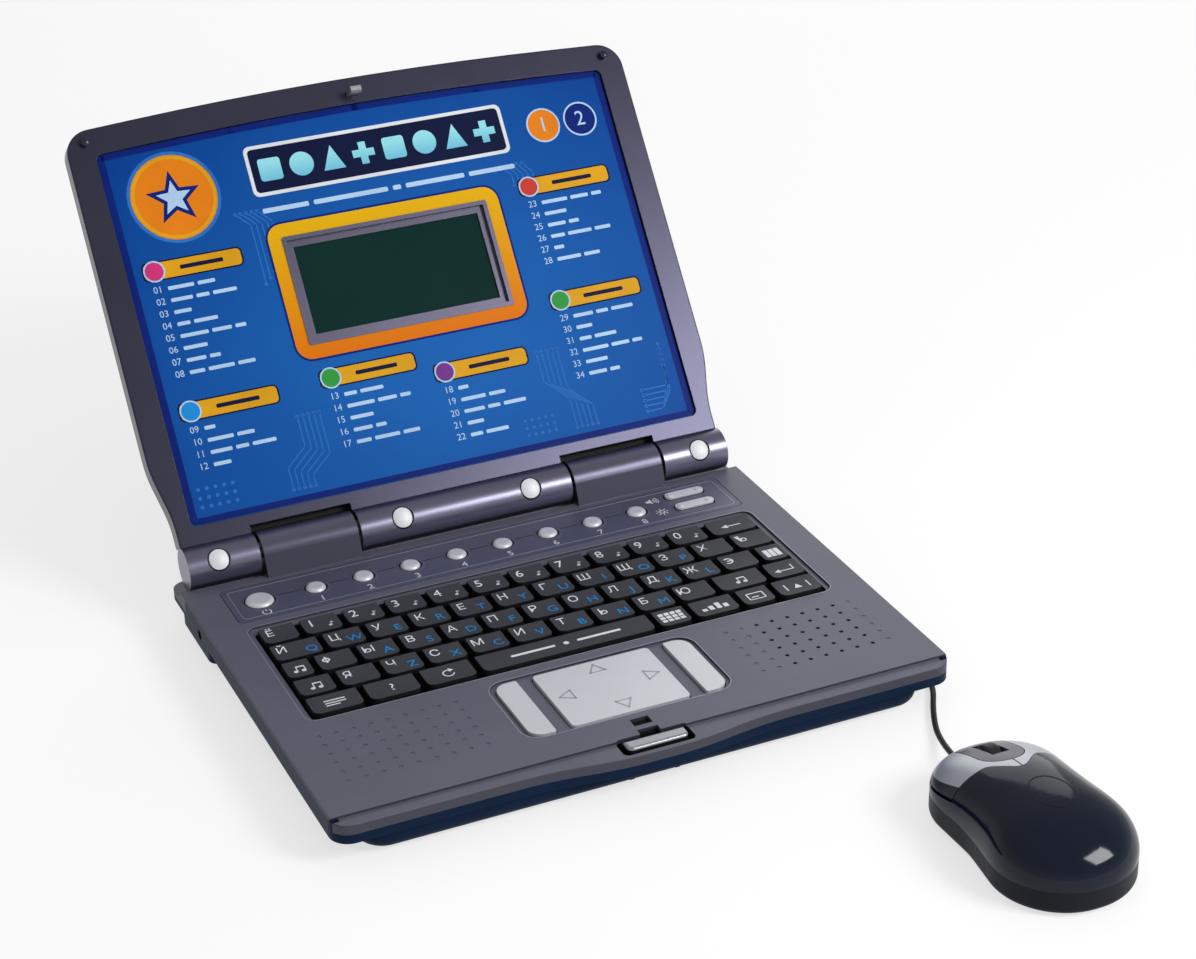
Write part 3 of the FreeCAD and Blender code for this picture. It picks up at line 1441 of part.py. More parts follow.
def make_lid():
    overlay_top = d.bezel_level - d.overlay_drop
    overlay_low = overlay_top - d.overlay_thickness
    plate_low = overlay_low - d.bezel_plate
    split = -d.lid_split
    lcd_seat = [
        rectangle(0, d.lcd_middle, d.lcd_width + d.lcd_fit * 2, d.lcd_depth + d.lcd_fit * 2, d.lcd_corner)
    ]

    bezel = body("lid_bezel")
    pad(bezel, [lid_outline(0, d.lid_low)], split, d.bezel_level - split)
    at_front = flat_at(d.bezel_level)
    low_line = d.lid_low.number + d.shell_fit.number
    fillet(bezel, d.bezel_round, lambda edge: at_front(edge) and edge.BoundBox.YMax > low_line)
    notches = [
        span(-barrel_far, -barrel_near, -d.barrel_radius, d.notch_high),
        span(barrel_near, barrel_far, -d.barrel_radius, d.notch_high),
    ]
    pocket(bezel, notches, d.bezel_level, d.bezel_level - split)
    pocket(bezel, [window_outline(0)], d.bezel_level, d.bezel_level - overlay_low)
    hollow_low = d.notch_high + d.lid_wall
    pocket(bezel, [lid_outline(d.lid_wall, hollow_low)], split, plate_low - split, along=True)
    pocket(bezel, lcd_seat, overlay_low, d.bezel_plate)
    barrels = (
        (-d.barrel_end, -barrel_far),
        (-barrel_near, barrel_near),
        (barrel_far, d.barrel_end),
    )
    for left, right in barrels:
        pad(bezel, [Ring(0, 0, d.barrel_radius)], left, right - left, "YZ_Plane")
    bore = [Ring(0, 0, d.pin_radius + d.pin_clearance)]
    depth = d.pin_reach + d.pin_end_gap
    for start in (-barrel_far, barrel_near):
        pocket(bezel, bore, start, depth, "YZ_Plane")
    for start in (-barrel_near, barrel_far):
        pocket(bezel, bore, start, depth, "YZ_Plane", along=True)
    cap_spots = (-d.cap_outer, -d.cap_inner, d.cap_inner, d.cap_outer)
    seats = [Ring(x, 0, d.cap_radius + d.shell_fit) for x in cap_spots]
    seat_low = d.barrel_radius - d.cap_seat - d.cap_proud
    pocket(bezel, seats, d.barrel_radius, d.barrel_radius - seat_low)
    hook_slot = span(
        -d.hook_width / 2 - d.hook_fit,
        d.hook_width / 2 + d.hook_fit,
        d.hook_high - d.hook_thickness - d.hook_fit,
        d.hook_high + d.hook_fit,
    )
    pocket(bezel, [hook_slot], d.bezel_level, d.bezel_level - plate_low)
    on_lid(bezel)

    shell = body("lid_back_shell")
    lid_back = -d.barrel_radius
    pad(shell, [lid_outline(0, d.lid_back_low)], lid_back, split - lid_back)
    at_back = flat_at(lid_back)
    low_edge = d.lid_back_low.number + d.shell_fit.number
    fillet(shell, d.lid_back_round, lambda edge: at_back(edge) and edge.BoundBox.YMax > low_edge)
    cavity = lid_outline(d.lid_wall, d.lid_back_low + d.lid_wall)
    pocket(shell, [cavity], split, split - lid_back - d.lid_wall)
    on_lid(shell)

    overlay = body("screen_overlay")
    pad(overlay, [window_outline(d.overlay_fit)], overlay_low, d.overlay_thickness)
    pocket(overlay, lcd_seat, overlay_top, d.overlay_thickness)
    on_lid(overlay)

    frame = body("lcd_frame")
    frame_top = overlay_top + d.lcd_proud
    surround = rectangle(0, d.lcd_middle, d.lcd_width, d.lcd_depth, d.lcd_corner)
    pad(frame, [surround], plate_low, frame_top - plate_low)
    rim = d.lcd_rim * 2
    mouth = rectangle(0, d.lcd_middle, d.lcd_width - rim, d.lcd_depth - rim)
    pocket(frame, [mouth], frame_top, d.lcd_bevel_drop)
    bevel = d.lcd_bevel * 2
    view = rectangle(0, d.lcd_middle, d.lcd_width - bevel, d.lcd_depth - bevel)
    pocket(frame, [view], frame_top, frame_top - plate_low)
    on_lid(frame)

    glass = body("lcd_window")
    margin = d.glass_margin * 2
    pane = rectangle(0, d.lcd_middle, d.lcd_width - margin, d.lcd_depth - margin)
    glass_low = plate_low - d.glass_thickness
    pad(glass, [pane], glass_low, d.glass_thickness)
    on_lid(glass)
    module = body("lcd_panel")
    margin = d.module_margin * 2
    block = rectangle(0, d.lcd_middle, d.lcd_width + margin, d.lcd_depth + margin)
    pad(module, [block], glass_low - d.module_thickness, d.module_thickness)
    on_lid(module)

    hook = body("latch_hook")
    low = d.hook_high - d.hook_thickness
    tip = d.bezel_level + d.hook_reach
    barb = tip - d.hook_barb_height
    profile = [
        Corner(low, plate_low, 0),
        Corner(d.hook_high, plate_low, 0),
        Corner(d.hook_high, tip, 0),
        Corner(low, tip, 0),
        Corner(low - d.hook_barb, barb, 0),
        Corner(low, barb, 0),
    ]
    pad(hook, [profile], -d.hook_width / 2, d.hook_width, "YZ_Plane")
    margin = d.hook_flange
    flange = span(
        -d.hook_width / 2 - margin,
        d.hook_width / 2 + margin,
        low - margin,
        d.hook_high + margin,
    )
    pad(hook, [flange], plate_low - d.hook_flange_thickness, d.hook_flange_thickness)
    on_lid(hook)

    bumpers = []
    for name, x in (("left", -d.bumper_side), ("right", d.bumper_side)):
        sizes = d.bumper_radius, d.bumper_height, d.bumper_slope
        bumpers.append(stud(f"bumper_{name}", *sizes, x, d.bumper_high, d.bezel_level))
    on_lid(group("lid_bumpers", bumpers))
    caps = []
    for i, x in enumerate(cap_spots):
        sizes = d.cap_radius, d.cap_seat + d.cap_proud * 2, d.cap_slope
        caps.append(stud(f"cap_{i}", *sizes, x, 0, seat_low))
    on_lid(group("hinge_caps", caps))


def mouse_outline(inset):
    """Mouse seen from above, nose up: round tail, drawn-in waist and round nose."""
    inset = size(inset)
    tail, waist, nose = d.mouse_tail_width / 2, d.mouse_waist_width / 2, d.mouse_nose_width / 2
    half = d.mouse_length / 2 - inset
    return [
        Corner(inset - tail, -half, d.mouse_tail_round - inset),
        Corner(tail - inset, -half, d.mouse_tail_round - inset),
        Corner(waist - inset, d.mouse_waist, d.mouse_waist_round + inset),
        Corner(nose - inset, half, d.mouse_nose_round - inset),
        Corner(inset - nose, half, d.mouse_nose_round - inset),
        Corner(inset - waist, d.mouse_waist, d.mouse_waist_round + inset),
    ]


def crown(name, inset):
    """Rounded upper half of the mouse through arches across it, shrunk on all sides by the inset."""
    plan = extrusion(f"{name}_plan", [mouse_outline(0)], 0, d.mouse_wall)
    doc.recompute()
    half = d.mouse_length.number / 2
    seam = d.mouse_seam.number
    tall = d.mouse_height.number - seam
    power = 2 / d.mouse_crown_fullness.number
    arches = []
    for along, share in CROWN_PROFILE:
        cutting = max(-0.998, min(0.998, along)) * half
        wide = plan.Shape.slice(Y_AXIS, cutting)[0].BoundBox.XMax - inset
        high = max(share * tall - inset, tall * CROWN_PROFILE[0][1] / 2)
        y = along * (half - inset)
        spots = []
        for step in range(10):
            turn = math.pi * step / 9
            x = math.copysign(wide * abs(math.cos(turn)) ** power, math.cos(turn))
            spots.append(Vector(x, y, seam + high * math.sin(turn) ** power if 0 < step < 9 else seam))
        bow = Part.BSplineCurve()
        bow.interpolate(spots)
        arches.append(Part.Wire([bow.toShape(), Part.makeLine(spots[-1], spots[0])]))
    thing = doc.addObject("Part::Feature", f"{name}_crown")
    thing.Shape = Part.makeLoft(arches, True, False)
    return thing


def button_room(name, gap, drop):
    """Room of the two mouse buttons: pointed at the back, with a low edge that falls towards the nose."""
    gap, drop = size(gap), size(drop)
    reach, tip, shoulder = d.mouse_tail_width, d.mouse_button_tip - gap, d.mouse_button_shoulder
    behind, ahead, bend = d.mouse_button_back - gap, d.mouse_length, d.mouse_button_bend
    outline = [
        Corner(-reach, behind, 0),
        Corner(-shoulder, behind, bend),
        Corner(0, tip, bend),
        Corner(shoulder, behind, bend),
        Corner(reach, behind, 0),
        Corner(reach, ahead, 0),
        Corner(-reach, ahead, 0),
    ]
    above = extrusion(f"{name}_plan", [outline], 0, d.mouse_height * 2)
    low = d.mouse_button_low - drop
    edge = [
        Corner(0, low + d.mouse_button_rise, 0),
        Corner(d.mouse_button_level, low, d.mouse_button_bend),
        Corner(ahead, low, 0),
        Corner(ahead, d.mouse_height * 2, 0),
        Corner(0, d.mouse_height * 2, 0),
    ]
    aside = extrusion(f"{name}_edge", [edge], -reach, reach * 2)
    aside.Base.Placement = Placement(Vector(-reach.number, 0, 0), Rotation(0.5, 0.5, 0.5, 0.5))
    aside.Base.setExpression("Placement.Base.x", (-reach).text)
    aside.Base.setExpression("Placement.Base.z", size(0).text)
    return common(name, above, aside)


def at_mouse(thing):
    place(thing, d.mouse_side, front - d.mouse_ahead, 0)


def make_mouse():
    low = d.skate_height
    half_length = d.mouse_length / 2
    base = body("mouse_base")
    floor = low + d.mouse_floor
    pad(base, [mouse_outline(0)], low, d.mouse_seam - low)
    fillet(base, d.mouse_base_round, flat_at(low))
    pocket(base, [mouse_outline(d.mouse_wall)], d.mouse_seam, d.mouse_seam - floor)
    board_front = d.mouse_board_length / 2 - d.mouse_board_back
    board_back = board_front - d.mouse_board_length
    reach = d.mouse_board_width / 2 - d.mouse_post_radius * 2
    seat = floor - d.mouse_wall / 2
    posts = [
        Ring(x, y, d.mouse_post_radius)
        for x in (-reach, reach)
        for y in (board_back + d.mouse_post_radius * 2, board_front - d.mouse_post_radius * 2)
    ]
    pad(base, posts, seat, d.mouse_board_height - seat)
    inner, thick = d.wheel_post_inner, d.wheel_post_thickness
    post_front = d.wheel_ahead + d.wheel_post_length / 2
    post_back = d.wheel_ahead - d.wheel_post_length / 2
    post_top = d.wheel_height + d.wheel_axle + d.wheel_post_cover
    brackets = [
        span(-inner - thick, -inner, post_back, post_front),
        span(inner, inner + thick, post_back, post_front),
    ]
    pad(base, brackets, seat, post_top - seat)
    axle_hole = Ring(d.wheel_ahead, d.wheel_height, d.wheel_axle + d.pin_clearance)
    pocket(base, [axle_hole], d.wheel_axle_half, d.wheel_axle_half * 2, "YZ_Plane")
    lens_hole = Ring(0, 0, d.lens_radius + d.shell_fit)
    pocket(base, [lens_hole], floor, d.mouse_floor)
    relief_hole = Ring(0, d.relief_height, d.relief_root + d.shell_fit)
    pocket(base, [relief_hole], -half_length, d.mouse_wall * 2, "XZ_Plane", along=True)
    at_mouse(base)

    shell = cut("mouse_shell", crown("outer", 0), crown("inner", d.mouse_wall.number))
    width, height = d.mouse_tail_width, d.mouse_height
    gap = d.mouse_button_gap
    shelf = d.mouse_button_low - d.mouse_button_travel_gap
    palm = cut("mouse_palm", shell, button_room("button_clearance", gap, d.mouse_button_travel_gap))
    at_mouse(node("mouse_palm_shell", palm))

    def stadium(name, margin):
        margin = size(margin)
        wide, long = d.inlay_width + margin * 2, d.inlay_length + margin * 2
        outline = rectangle(0, d.inlay_middle, wide, long, wide / 2 - d.shell_fit)
        return extrusion(name, [outline], shelf, height)

    inlay_blank = common("inlay_blank", shell, stadium("inlay_outline", 0))
    wheel_slot = box(
        "wheel_slot",
        -d.wheel_width / 2 - d.wheel_gap,
        d.wheel_ahead - d.wheel_slot_back,
        shelf,
        d.wheel_width + d.wheel_gap * 2,
        d.wheel_slot_back + d.wheel_radius + d.wheel_gap,
        height,
    )
    at_mouse(node("mouse_inlay", cut("inlay", inlay_blank, wheel_slot)))
    for label, hand in (("mouse_left_button", -1), ("mouse_right_button", 1)):
        start = -width if hand < 0 else d.mouse_split / 2
        region = box(f"{label}_half", start, 0, 0, width - d.mouse_split / 2, d.mouse_length, height * 2)
        own = common(f"{label}_region", button_room(f"{label}_room", 0, 0), region)
        piece = common(f"{label}_piece", shell, own)
        at_mouse(node(label, cut(f"{label}_cut", piece, stadium(f"{label}_inlay", gap))))

    wheel = turned("mouse_wheel", [
        Corner(0, -d.wheel_axle_half, 0),
        Corner(d.wheel_axle, -d.wheel_axle_half, 0),
        Corner(d.wheel_axle, -d.wheel_width / 2, 0),
        Corner(d.wheel_radius, -d.wheel_width / 2, d.wheel_round),
        Corner(d.wheel_radius, d.wheel_width / 2, d.wheel_round),
        Corner(d.wheel_axle, d.wheel_width / 2, 0),
        Corner(d.wheel_axle, d.wheel_axle_half, 0),
        Corner(0, d.wheel_axle_half, 0),
    ])
    mouse_y = front - d.mouse_ahead
    place(wheel, d.mouse_side, mouse_y + d.wheel_ahead, d.wheel_height, Y_AXIS, 90)

    board = body("mouse_board")
    plate = span(-d.mouse_board_width / 2, d.mouse_board_width / 2, board_back, board_front)
    pad(board, [plate], d.mouse_board_height, d.mouse_board_thickness)
    at_mouse(board)
    lens = turned("mouse_lens", [
        Corner(0, floor - d.lens_thickness, 0),
        Corner(d.lens_radius, floor - d.lens_thickness, 0),
        Corner(d.lens_radius, floor, 0),
        Corner(d.lens_radius + d.lens_flange, floor, 0),
        Corner(d.lens_radius + d.lens_flange, floor + d.skate_height, 0),
        Corner(0, floor + d.skate_height, 0),
    ])
    at_mouse(lens)
    skates = [
        cylinder(f"skate_{i}", d.skate_radius, d.skate_height, x, y, 0)
        for i, (x, y) in enumerate(
            (x, y) for x in (-d.skate_side, d.skate_side) for y in (-d.skate_ahead, d.skate_ahead)
        )
    ]
    at_mouse(group("mouse_skates", skates))
    relief = turned("mouse_strain_relief", [
        Corner(0, -d.mouse_wall, 0),
        Corner(d.relief_root, -d.mouse_wall, 0),
        Corner(d.relief_root, 0, 0),
        Corner(d.relief_tip, d.relief_reach, 0),
        Corner(0, d.relief_reach, 0),
    ])
    place(relief, d.mouse_side, mouse_y + half_length, d.relief_height, X_AXIS, -90)


def make_cord():
    """Round cord of straight runs and tangent bends from the outlet to the mouse."""
    outlet_x = (side - d.belly_side_inset + d.outlet_nose + d.cord_end_gap).number
    start = Vector(outlet_x, (front + d.outlet_row).number, d.outlet_height.number)
    nose = front - d.mouse_ahead + d.mouse_length / 2 + d.relief_reach + d.cord_end_gap
    end = Vector(d.mouse_side.number, nose.number, d.relief_height.number)
    corner_x, corner_y = side.number, front.number
    route = [Vector(corner_x + out, corner_y + behind, up) for out, behind, up in CORD_POINTS]
    points = [start] + route + [end]
    edges, radii = [], []
    place_now = start
    for i in range(1, len(points) - 1):
        to_last = points[i - 1] - points[i]
        to_next = points[i + 1] - points[i]
        half = to_last.getAngle(to_next) / 2
        trim = 0.45 * min(to_last.Length, to_next.Length)
        radii.append(trim * math.tan(half))
        enter = points[i] + to_last.normalize() * trim
        leave = points[i] + to_next.normalize() * trim
        bisector = (to_last + to_next).normalize()
        middle = points[i] + bisector * (radii[-1] / math.sin(half) - radii[-1])
        edges.append(Part.makeLine(place_now, enter))
        edges.append(Part.Arc(enter, middle, leave).toShape())
        place_now = leave
    edges.append(Part.makeLine(place_now, end))
    path = Part.Wire(edges)
    ring = Part.Wire(Part.makeCircle(d.cord_radius.number, start, points[1] - start))
    cord = doc.addObject("Part::Feature", "mouse_cord")
    cord.Shape = path.makePipeShell([ring], True, False)
    node("mouse_cord", cord)
    print("cord length", round(path.Length, 1), "bend radii", [round(r, 1) for r in radii])


def check_model():
    """Stops when a feature failed, a shape is bad or a cut took nothing away."""
    for thing in doc.Objects:
        if "Invalid" in thing.State or "Error" in thing.State:
            raise RuntimeError(f"{thing.Name} did not build: {thing.State}")
        if thing.TypeId == "PartDesign::Pocket":
            before, after = thing.BaseFeature.Shape.Volume, thing.Shape.Volume
            if after > before - 1e-6:
                raise RuntimeError(f"{thing.Name} of {thing.getParentGeoFeatureGroup().Label} cuts nothing")
    for label, thing in nodes.items():
        shape = thing.Shape
        if shape.isNull() or not shape.isValid() or not shape.Solids:
            raise RuntimeError(f"{label} has no sound solid")


def main():
    make_top_shell()
    make_bottom_shell()
    make_fixed_pieces()
    make_sockets()
    make_keys()
    make_buttons()
    make_latch()
    make_lid()
    make_mouse()
    make_cord()
    doc.recompute()
    check_model()
    os.makedirs("parts", exist_ok=True)
    for label, thing in nodes.items():
        thing.Shape.exportStep(f"parts/{label}.step")
    print(len(nodes), "sub-parts written")


main()
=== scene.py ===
"""Dressed model of a toy laptop computer with a corded mouse, on a pale studio floor."""
import logging
import math
from dataclasses import dataclass, field
from enum import Enum
from typing import Callable, Self, Sequence

import bmesh
import bpy
from mathutils import Matrix, Vector
from mathutils.bvhtree import BVHTree


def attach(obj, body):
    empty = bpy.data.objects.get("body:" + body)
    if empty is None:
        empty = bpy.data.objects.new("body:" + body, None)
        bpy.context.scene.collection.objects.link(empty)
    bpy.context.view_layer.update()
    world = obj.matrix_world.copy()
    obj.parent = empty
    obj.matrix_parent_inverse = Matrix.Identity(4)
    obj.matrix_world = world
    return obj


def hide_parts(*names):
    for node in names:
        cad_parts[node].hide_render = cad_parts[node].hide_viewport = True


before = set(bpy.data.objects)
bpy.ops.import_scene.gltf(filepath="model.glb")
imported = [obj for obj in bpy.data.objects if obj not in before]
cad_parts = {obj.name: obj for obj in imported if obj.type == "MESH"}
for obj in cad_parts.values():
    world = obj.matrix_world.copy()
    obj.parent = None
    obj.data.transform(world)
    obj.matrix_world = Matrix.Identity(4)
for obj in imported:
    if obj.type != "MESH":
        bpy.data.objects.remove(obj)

LOG = logging.getLogger("toy_laptop")
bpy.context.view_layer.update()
NODES: dict[str, bpy.types.Object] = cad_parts
MM = 0.001
FRONT = -108.5
DECK = 20.0
AXIS_Y, AXIS_Z = 97.7, 26.4
LEAN = math.radians(53.2)
PRINT = 0.04
CAPITAL = 0.7

Colour = tuple[float, float, float]
Place = tuple[float, float, float]
Point = tuple[float, float]
Mark = tuple[object, ...]
Socket = bpy.types.NodeSocket


def srgb(red: int, green: int, blue: int) -> Colour:
    """Turns a colour of 0 to 255 steps into the linear values that shaders use.

    Args:
        red, green, blue: Display values from 0 to 255.

    Returns:
        Linear red, green and blue.
    """
    def linear(value: int) -> float:
        """One channel."""
        share = value / 255
        return share / 12.92 if share <= 0.04045 else ((share + 0.055) / 1.055) ** 2.4

    return linear(red), linear(green), linear(blue)


def lid_plane(out: float = 0.0) -> Matrix:
    """Plane of the open lid, across and up from the hinge axis.

    Args:
        out: Distance in front of the plane through the axis, in millimetres.

    Returns:
        Matrix from plane millimetres, already scaled to metres, to the row frame.
    """
    place = Matrix.Translation((0, AXIS_Y * MM, AXIS_Z * MM)) @ Matrix.Rotation(LEAN, 4, "X")
    return place @ Matrix.Translation((0, 0, out * MM))


def level_plane(height: float) -> Matrix:
    """A level plane at a height in millimetres."""
    return Matrix.Translation((0, 0, height * MM))


def polar(reach: float, turn: float) -> Point:
    """The point at a distance from the origin, in a direction in degrees."""
    return reach * math.cos(math.radians(turn)), reach * math.sin(math.radians(turn))


class Nodes:
    """Short calls for building one node tree."""

    def __init__(self, owner: bpy.types.ID, shader: str = "Principled BSDF") -> None:
        """Starts the node tree of a material or a world at its shader."""
        owner.use_nodes = True
        self.owner = owner
        self.tree = owner.node_tree
        self.shader = self.tree.nodes[shader]

    def add(self, kind: str, **values: object) -> bpy.types.Node:
        """Adds a node and sets its properties or inputs.

        Args:
            kind: Node type name.
            values: Properties of the node, or inputs named with underscores.

        Returns:
            The new node.
        """
        node = self.tree.nodes.new(kind)
        for name, value in values.items():
            if hasattr(node, name):
                setattr(node, name, value)
            else:
                node.inputs[name.replace("_", " ")].default_value = value
        return node

    def link(self, source: Socket, target: Socket) -> None:
        """Joins two sockets."""
        self.tree.links.new(source, target)

    def shade(self, **values: object) -> None:
        """Sets constant inputs of the shader, named with underscores."""
        for name, value in values.items():
            self.shader.inputs[name.replace("_", " ")].default_value = value

    def paint(self, **sources: Socket) -> None:
        """Links sockets to inputs of the shader, named with underscores."""
        for name, source in sources.items():
            self.link(source, self.shader.inputs[name.replace("_", " ")])

    def mix(self, factor: Socket, low: Colour | Socket, high: Colour | Socket, kind: str = "MIX") -> Socket:
        """Mixes two colours by a factor.

        Args:
            factor: Socket from 0 to 1.
            low, high: Linear colours at 0 and 1, or their sockets.
            kind: Blend type.

        Returns:
            The mixed colour's socket.
        """
        node = self.add("ShaderNodeMix", data_type="RGBA", blend_type=kind)
        self.link(factor, node.inputs["Factor"])
        for name, value in (("A", low), ("B", high)):
            if isinstance(value, Socket):
                self.link(value, node.inputs[name])
            else:
                node.inputs[name].default_value = (*value, 1)
        return node.outputs["Result"]

    def remap(self, value: Socket, start: float, end: float, low: float = 0.0, high: float = 1.0) -> Socket:
        """Maps one range onto another and holds the result at its ends.

        Args:
            value: Socket of the value.
            start, end: Values at which the results are low and high.
            low, high: The results.

        Returns:
            The mapped value's socket.
        """
        node = self.add("ShaderNodeMapRange", From_Min=start, From_Max=end, To_Min=low, To_Max=high)
        self.link(value, node.inputs["Value"])
        return node.outputs["Result"]

    def spread(self, noise: Socket, low: float = 0.0, high: float = 1.0) -> Socket:
        """Maps the usual range of a noise onto another."""
        return self.remap(noise, 0.3, 0.7, low, high)

    def noise(self, spot: Socket, scale: float, detail: float) -> Socket:
        """Noise over a place."""
        node = self.add("ShaderNodeTexNoise", Scale=scale, Detail=detail)
        self.link(spot, node.inputs["Vector"])
        return node.outputs["Fac"]

    def upward(self, vector: Socket) -> Socket:
        """The Z of a vector."""
        node = self.add("ShaderNodeSeparateXYZ")
        self.link(vector, node.inputs["Vector"])
        return node.outputs["Z"]

    def times(self, value: Socket, share: float) -> Socket:
        """A value times a constant."""
        node = self.add("ShaderNodeMath", operation="MULTIPLY")
        self.link(value, node.inputs[0])
        node.inputs[1].default_value = share
        return node.outputs["Value"]


@dataclass(frozen=True)
class Moulded:
    """Moulded or painted plastic with a fine grain, slight mottling and an even sheen.

    A wall colour, where given, is painted shade: it darkens upright faces below the lighter top,
    and a foot colour shows below a line whose height falls along Y. Edges are rounded by a radius in
    millimetres.
    """

    name: str
    colour: Colour
    roughness: float = 0.4
    metallic: float = 0.0
    coat: float = 0.0
    mottle: float = 0.08
    mottle_scale: float = 40.0
    grain_scale: float = 2500.0
    grain: float = 0.05
    flake: float = 0.0
    specular: float = 0.5
    # painted shade for upright faces, where given
    wall: Colour | None = None
    foot: Colour | None = None
    foot_height: float = 0.0
    foot_slope: float = 0.0
    foot_blur: float = 0.1
    edge: float = 0.0
    wall_turn: Point = (0.6, 0.97)
    sheen_share: float = 0.02

    def material(self) -> bpy.types.Material:
        """Builds the finish."""
        make = Nodes(bpy.data.materials.new(self.name))
        place = make.add("ShaderNodeTexCoord")
        spot = place.outputs["Object"]
        cloud = make.noise(spot, self.mottle_scale, 3.0)
        dark = tuple(c * (1 - self.mottle) for c in self.colour)
        light = tuple(min(1.0, c * (1 + self.mottle)) for c in self.colour)
        tone = make.mix(make.spread(cloud), dark, light)
        if self.flake:
            tone = self.flecks(make, spot, tone)
        # Painted shade: faces that turn towards upright take the darker wall colour.
        if self.wall:
            level = make.remap(make.upward(place.outputs["Normal"]), *self.wall_turn)
            tone = make.mix(level, self.wall, tone)
        make.shade(Metallic=self.metallic, Specular_IOR_Level=self.specular)
        make.shade(Coat_Weight=self.coat, Coat_Roughness=0.12)
        if self.foot:
            level = self.above_foot(make, spot)
            tone = make.mix(level, self.foot, tone)
            make.paint(Metallic=make.times(level, self.metallic))
        dull, clear = self.roughness * (1 + self.sheen_share), self.roughness * (1 - self.sheen_share)
        sheen = make.spread(cloud, clear, dull)
        make.paint(Base_Color=tone, Roughness=sheen, Normal=self.relief(make, spot))
        return make.owner

    def flecks(self, make: Nodes, spot: Socket, tone: Socket) -> Socket:
        """Adds fine bright flecks to a tone."""
        cells = make.add("ShaderNodeTexVoronoi", Scale=self.grain_scale * 0.6)
        make.link(spot, cells.inputs["Vector"])
        share = make.remap(cells.outputs["Distance"], 0.0, 0.25, self.flake, 0.0)
        return make.mix(share, tone, self.colour, "ADD")

    def above_foot(self, make: Nodes, spot: Socket) -> Socket:
        """A factor of 0 below the foot's line and 1 above it."""
        height = make.add("ShaderNodeVectorMath", operation="DOT_PRODUCT")
        make.link(spot, height.inputs[0])
        height.inputs[1].default_value = (0, self.foot_slope, 1)
        low, high = self.foot_height - self.foot_blur, self.foot_height + self.foot_blur
        return make.remap(height.outputs["Value"], low * MM, high * MM)

    def relief(self, make: Nodes, spot: Socket) -> Socket:
        """Fine grain, over edges that are rounded in shading."""
        bump = make.add("ShaderNodeBump", Strength=self.grain, Distance=0.2 * MM)
        make.link(make.noise(spot, self.grain_scale, 2.0), bump.inputs["Height"])
        if self.edge:
            worn = make.add("ShaderNodeBevel", samples=4, Radius=self.edge * MM)
            make.link(worn.outputs["Normal"], bump.inputs["Normal"])
        return bump.outputs["Normal"]


@dataclass(frozen=True)
class Fade:
    """Printed ink that fades from one colour to another between two heights in millimetres."""

    name: str
    low: Colour
    high: Colour
    start: float
    end: float

    def material(self) -> bpy.types.Material:
        """Builds the ink."""
        make = Nodes(bpy.data.materials.new(self.name))
        height = make.upward(make.add("ShaderNodeTexCoord").outputs["Object"])
        level = make.remap(height, self.start * MM, self.end * MM)
        make.paint(Base_Color=make.mix(level, self.low, self.high))
        make.shade(Roughness=0.3, Specular_IOR_Level=0.06)
        return make.owner


@dataclass(frozen=True)
class ScreenPrint:
    """Blue print of the screen surround: lighter about a centre on the lid than towards its rim."""

    name: str
    middle: Colour
    rim: Colour
    centre: Point = (10.0, 75.0)
    fall: Point = (5.2, 6.5)
    cloudy: float = 0.22

    def material(self) -> bpy.types.Material:
        """Builds the print in the lid's own plane."""
        make = Nodes(bpy.data.materials.new(self.name))
        spot = make.add("ShaderNodeTexCoord").outputs["Object"]
        hinge = (0, AXIS_Y * MM, AXIS_Z * MM)
        turn = make.add("ShaderNodeMapping", vector_type="TEXTURE", Location=hinge, Rotation=(LEAN, 0, 0))
        make.link(spot, turn.inputs["Vector"])
        across, up = self.fall
        start = (-self.centre[0] * MM * across, -self.centre[1] * MM * up, 0)
        about = make.add("ShaderNodeMapping", Location=start, Scale=(across, up, 0))
        make.link(turn.outputs["Vector"], about.inputs["Vector"])
        ball = make.add("ShaderNodeTexGradient", gradient_type="SPHERICAL")
        make.link(about.outputs["Vector"], ball.inputs["Vector"])
        glow = make.add("ShaderNodeMath", operation="MULTIPLY_ADD")
        make.link(make.noise(spot, 26.0, 3.0), glow.inputs[0])
        glow.inputs[1].default_value = self.cloudy
        make.link(ball.outputs["Fac"], glow.inputs[2])
        level = make.remap(glow.outputs["Value"], 0.1, 0.95)
        make.paint(Base_Color=make.mix(level, self.rim, self.middle))
        make.shade(Roughness=0.4, Specular_IOR_Level=0.04)
        return make.owner


@dataclass(frozen=True)
class Pane:
    """Dark tinted display pane with a clear gloss."""

    name: str
    colour: Colour

    def material(self) -> bpy.types.Material:
        """Builds the pane's finish."""
        make = Nodes(bpy.data.materials.new(self.name))
        cloud = make.noise(make.add("ShaderNodeTexCoord").outputs["Object"], 18.0, 1.0)
        dark = tuple(c * 0.85 for c in self.colour)
        make.paint(Base_Color=make.mix(make.spread(cloud), dark, self.colour))
        make.shade(Roughness=0.15, Specular_IOR_Level=0.05)
        return make.owner


def printed(name: str, colour: Colour, roughness: float = 0.4, specular: float = 0.08) -> Moulded:
    """A matt printed ink, almost without grain."""
    return Moulded(name, colour, roughness, grain=0.02, specular=specular)


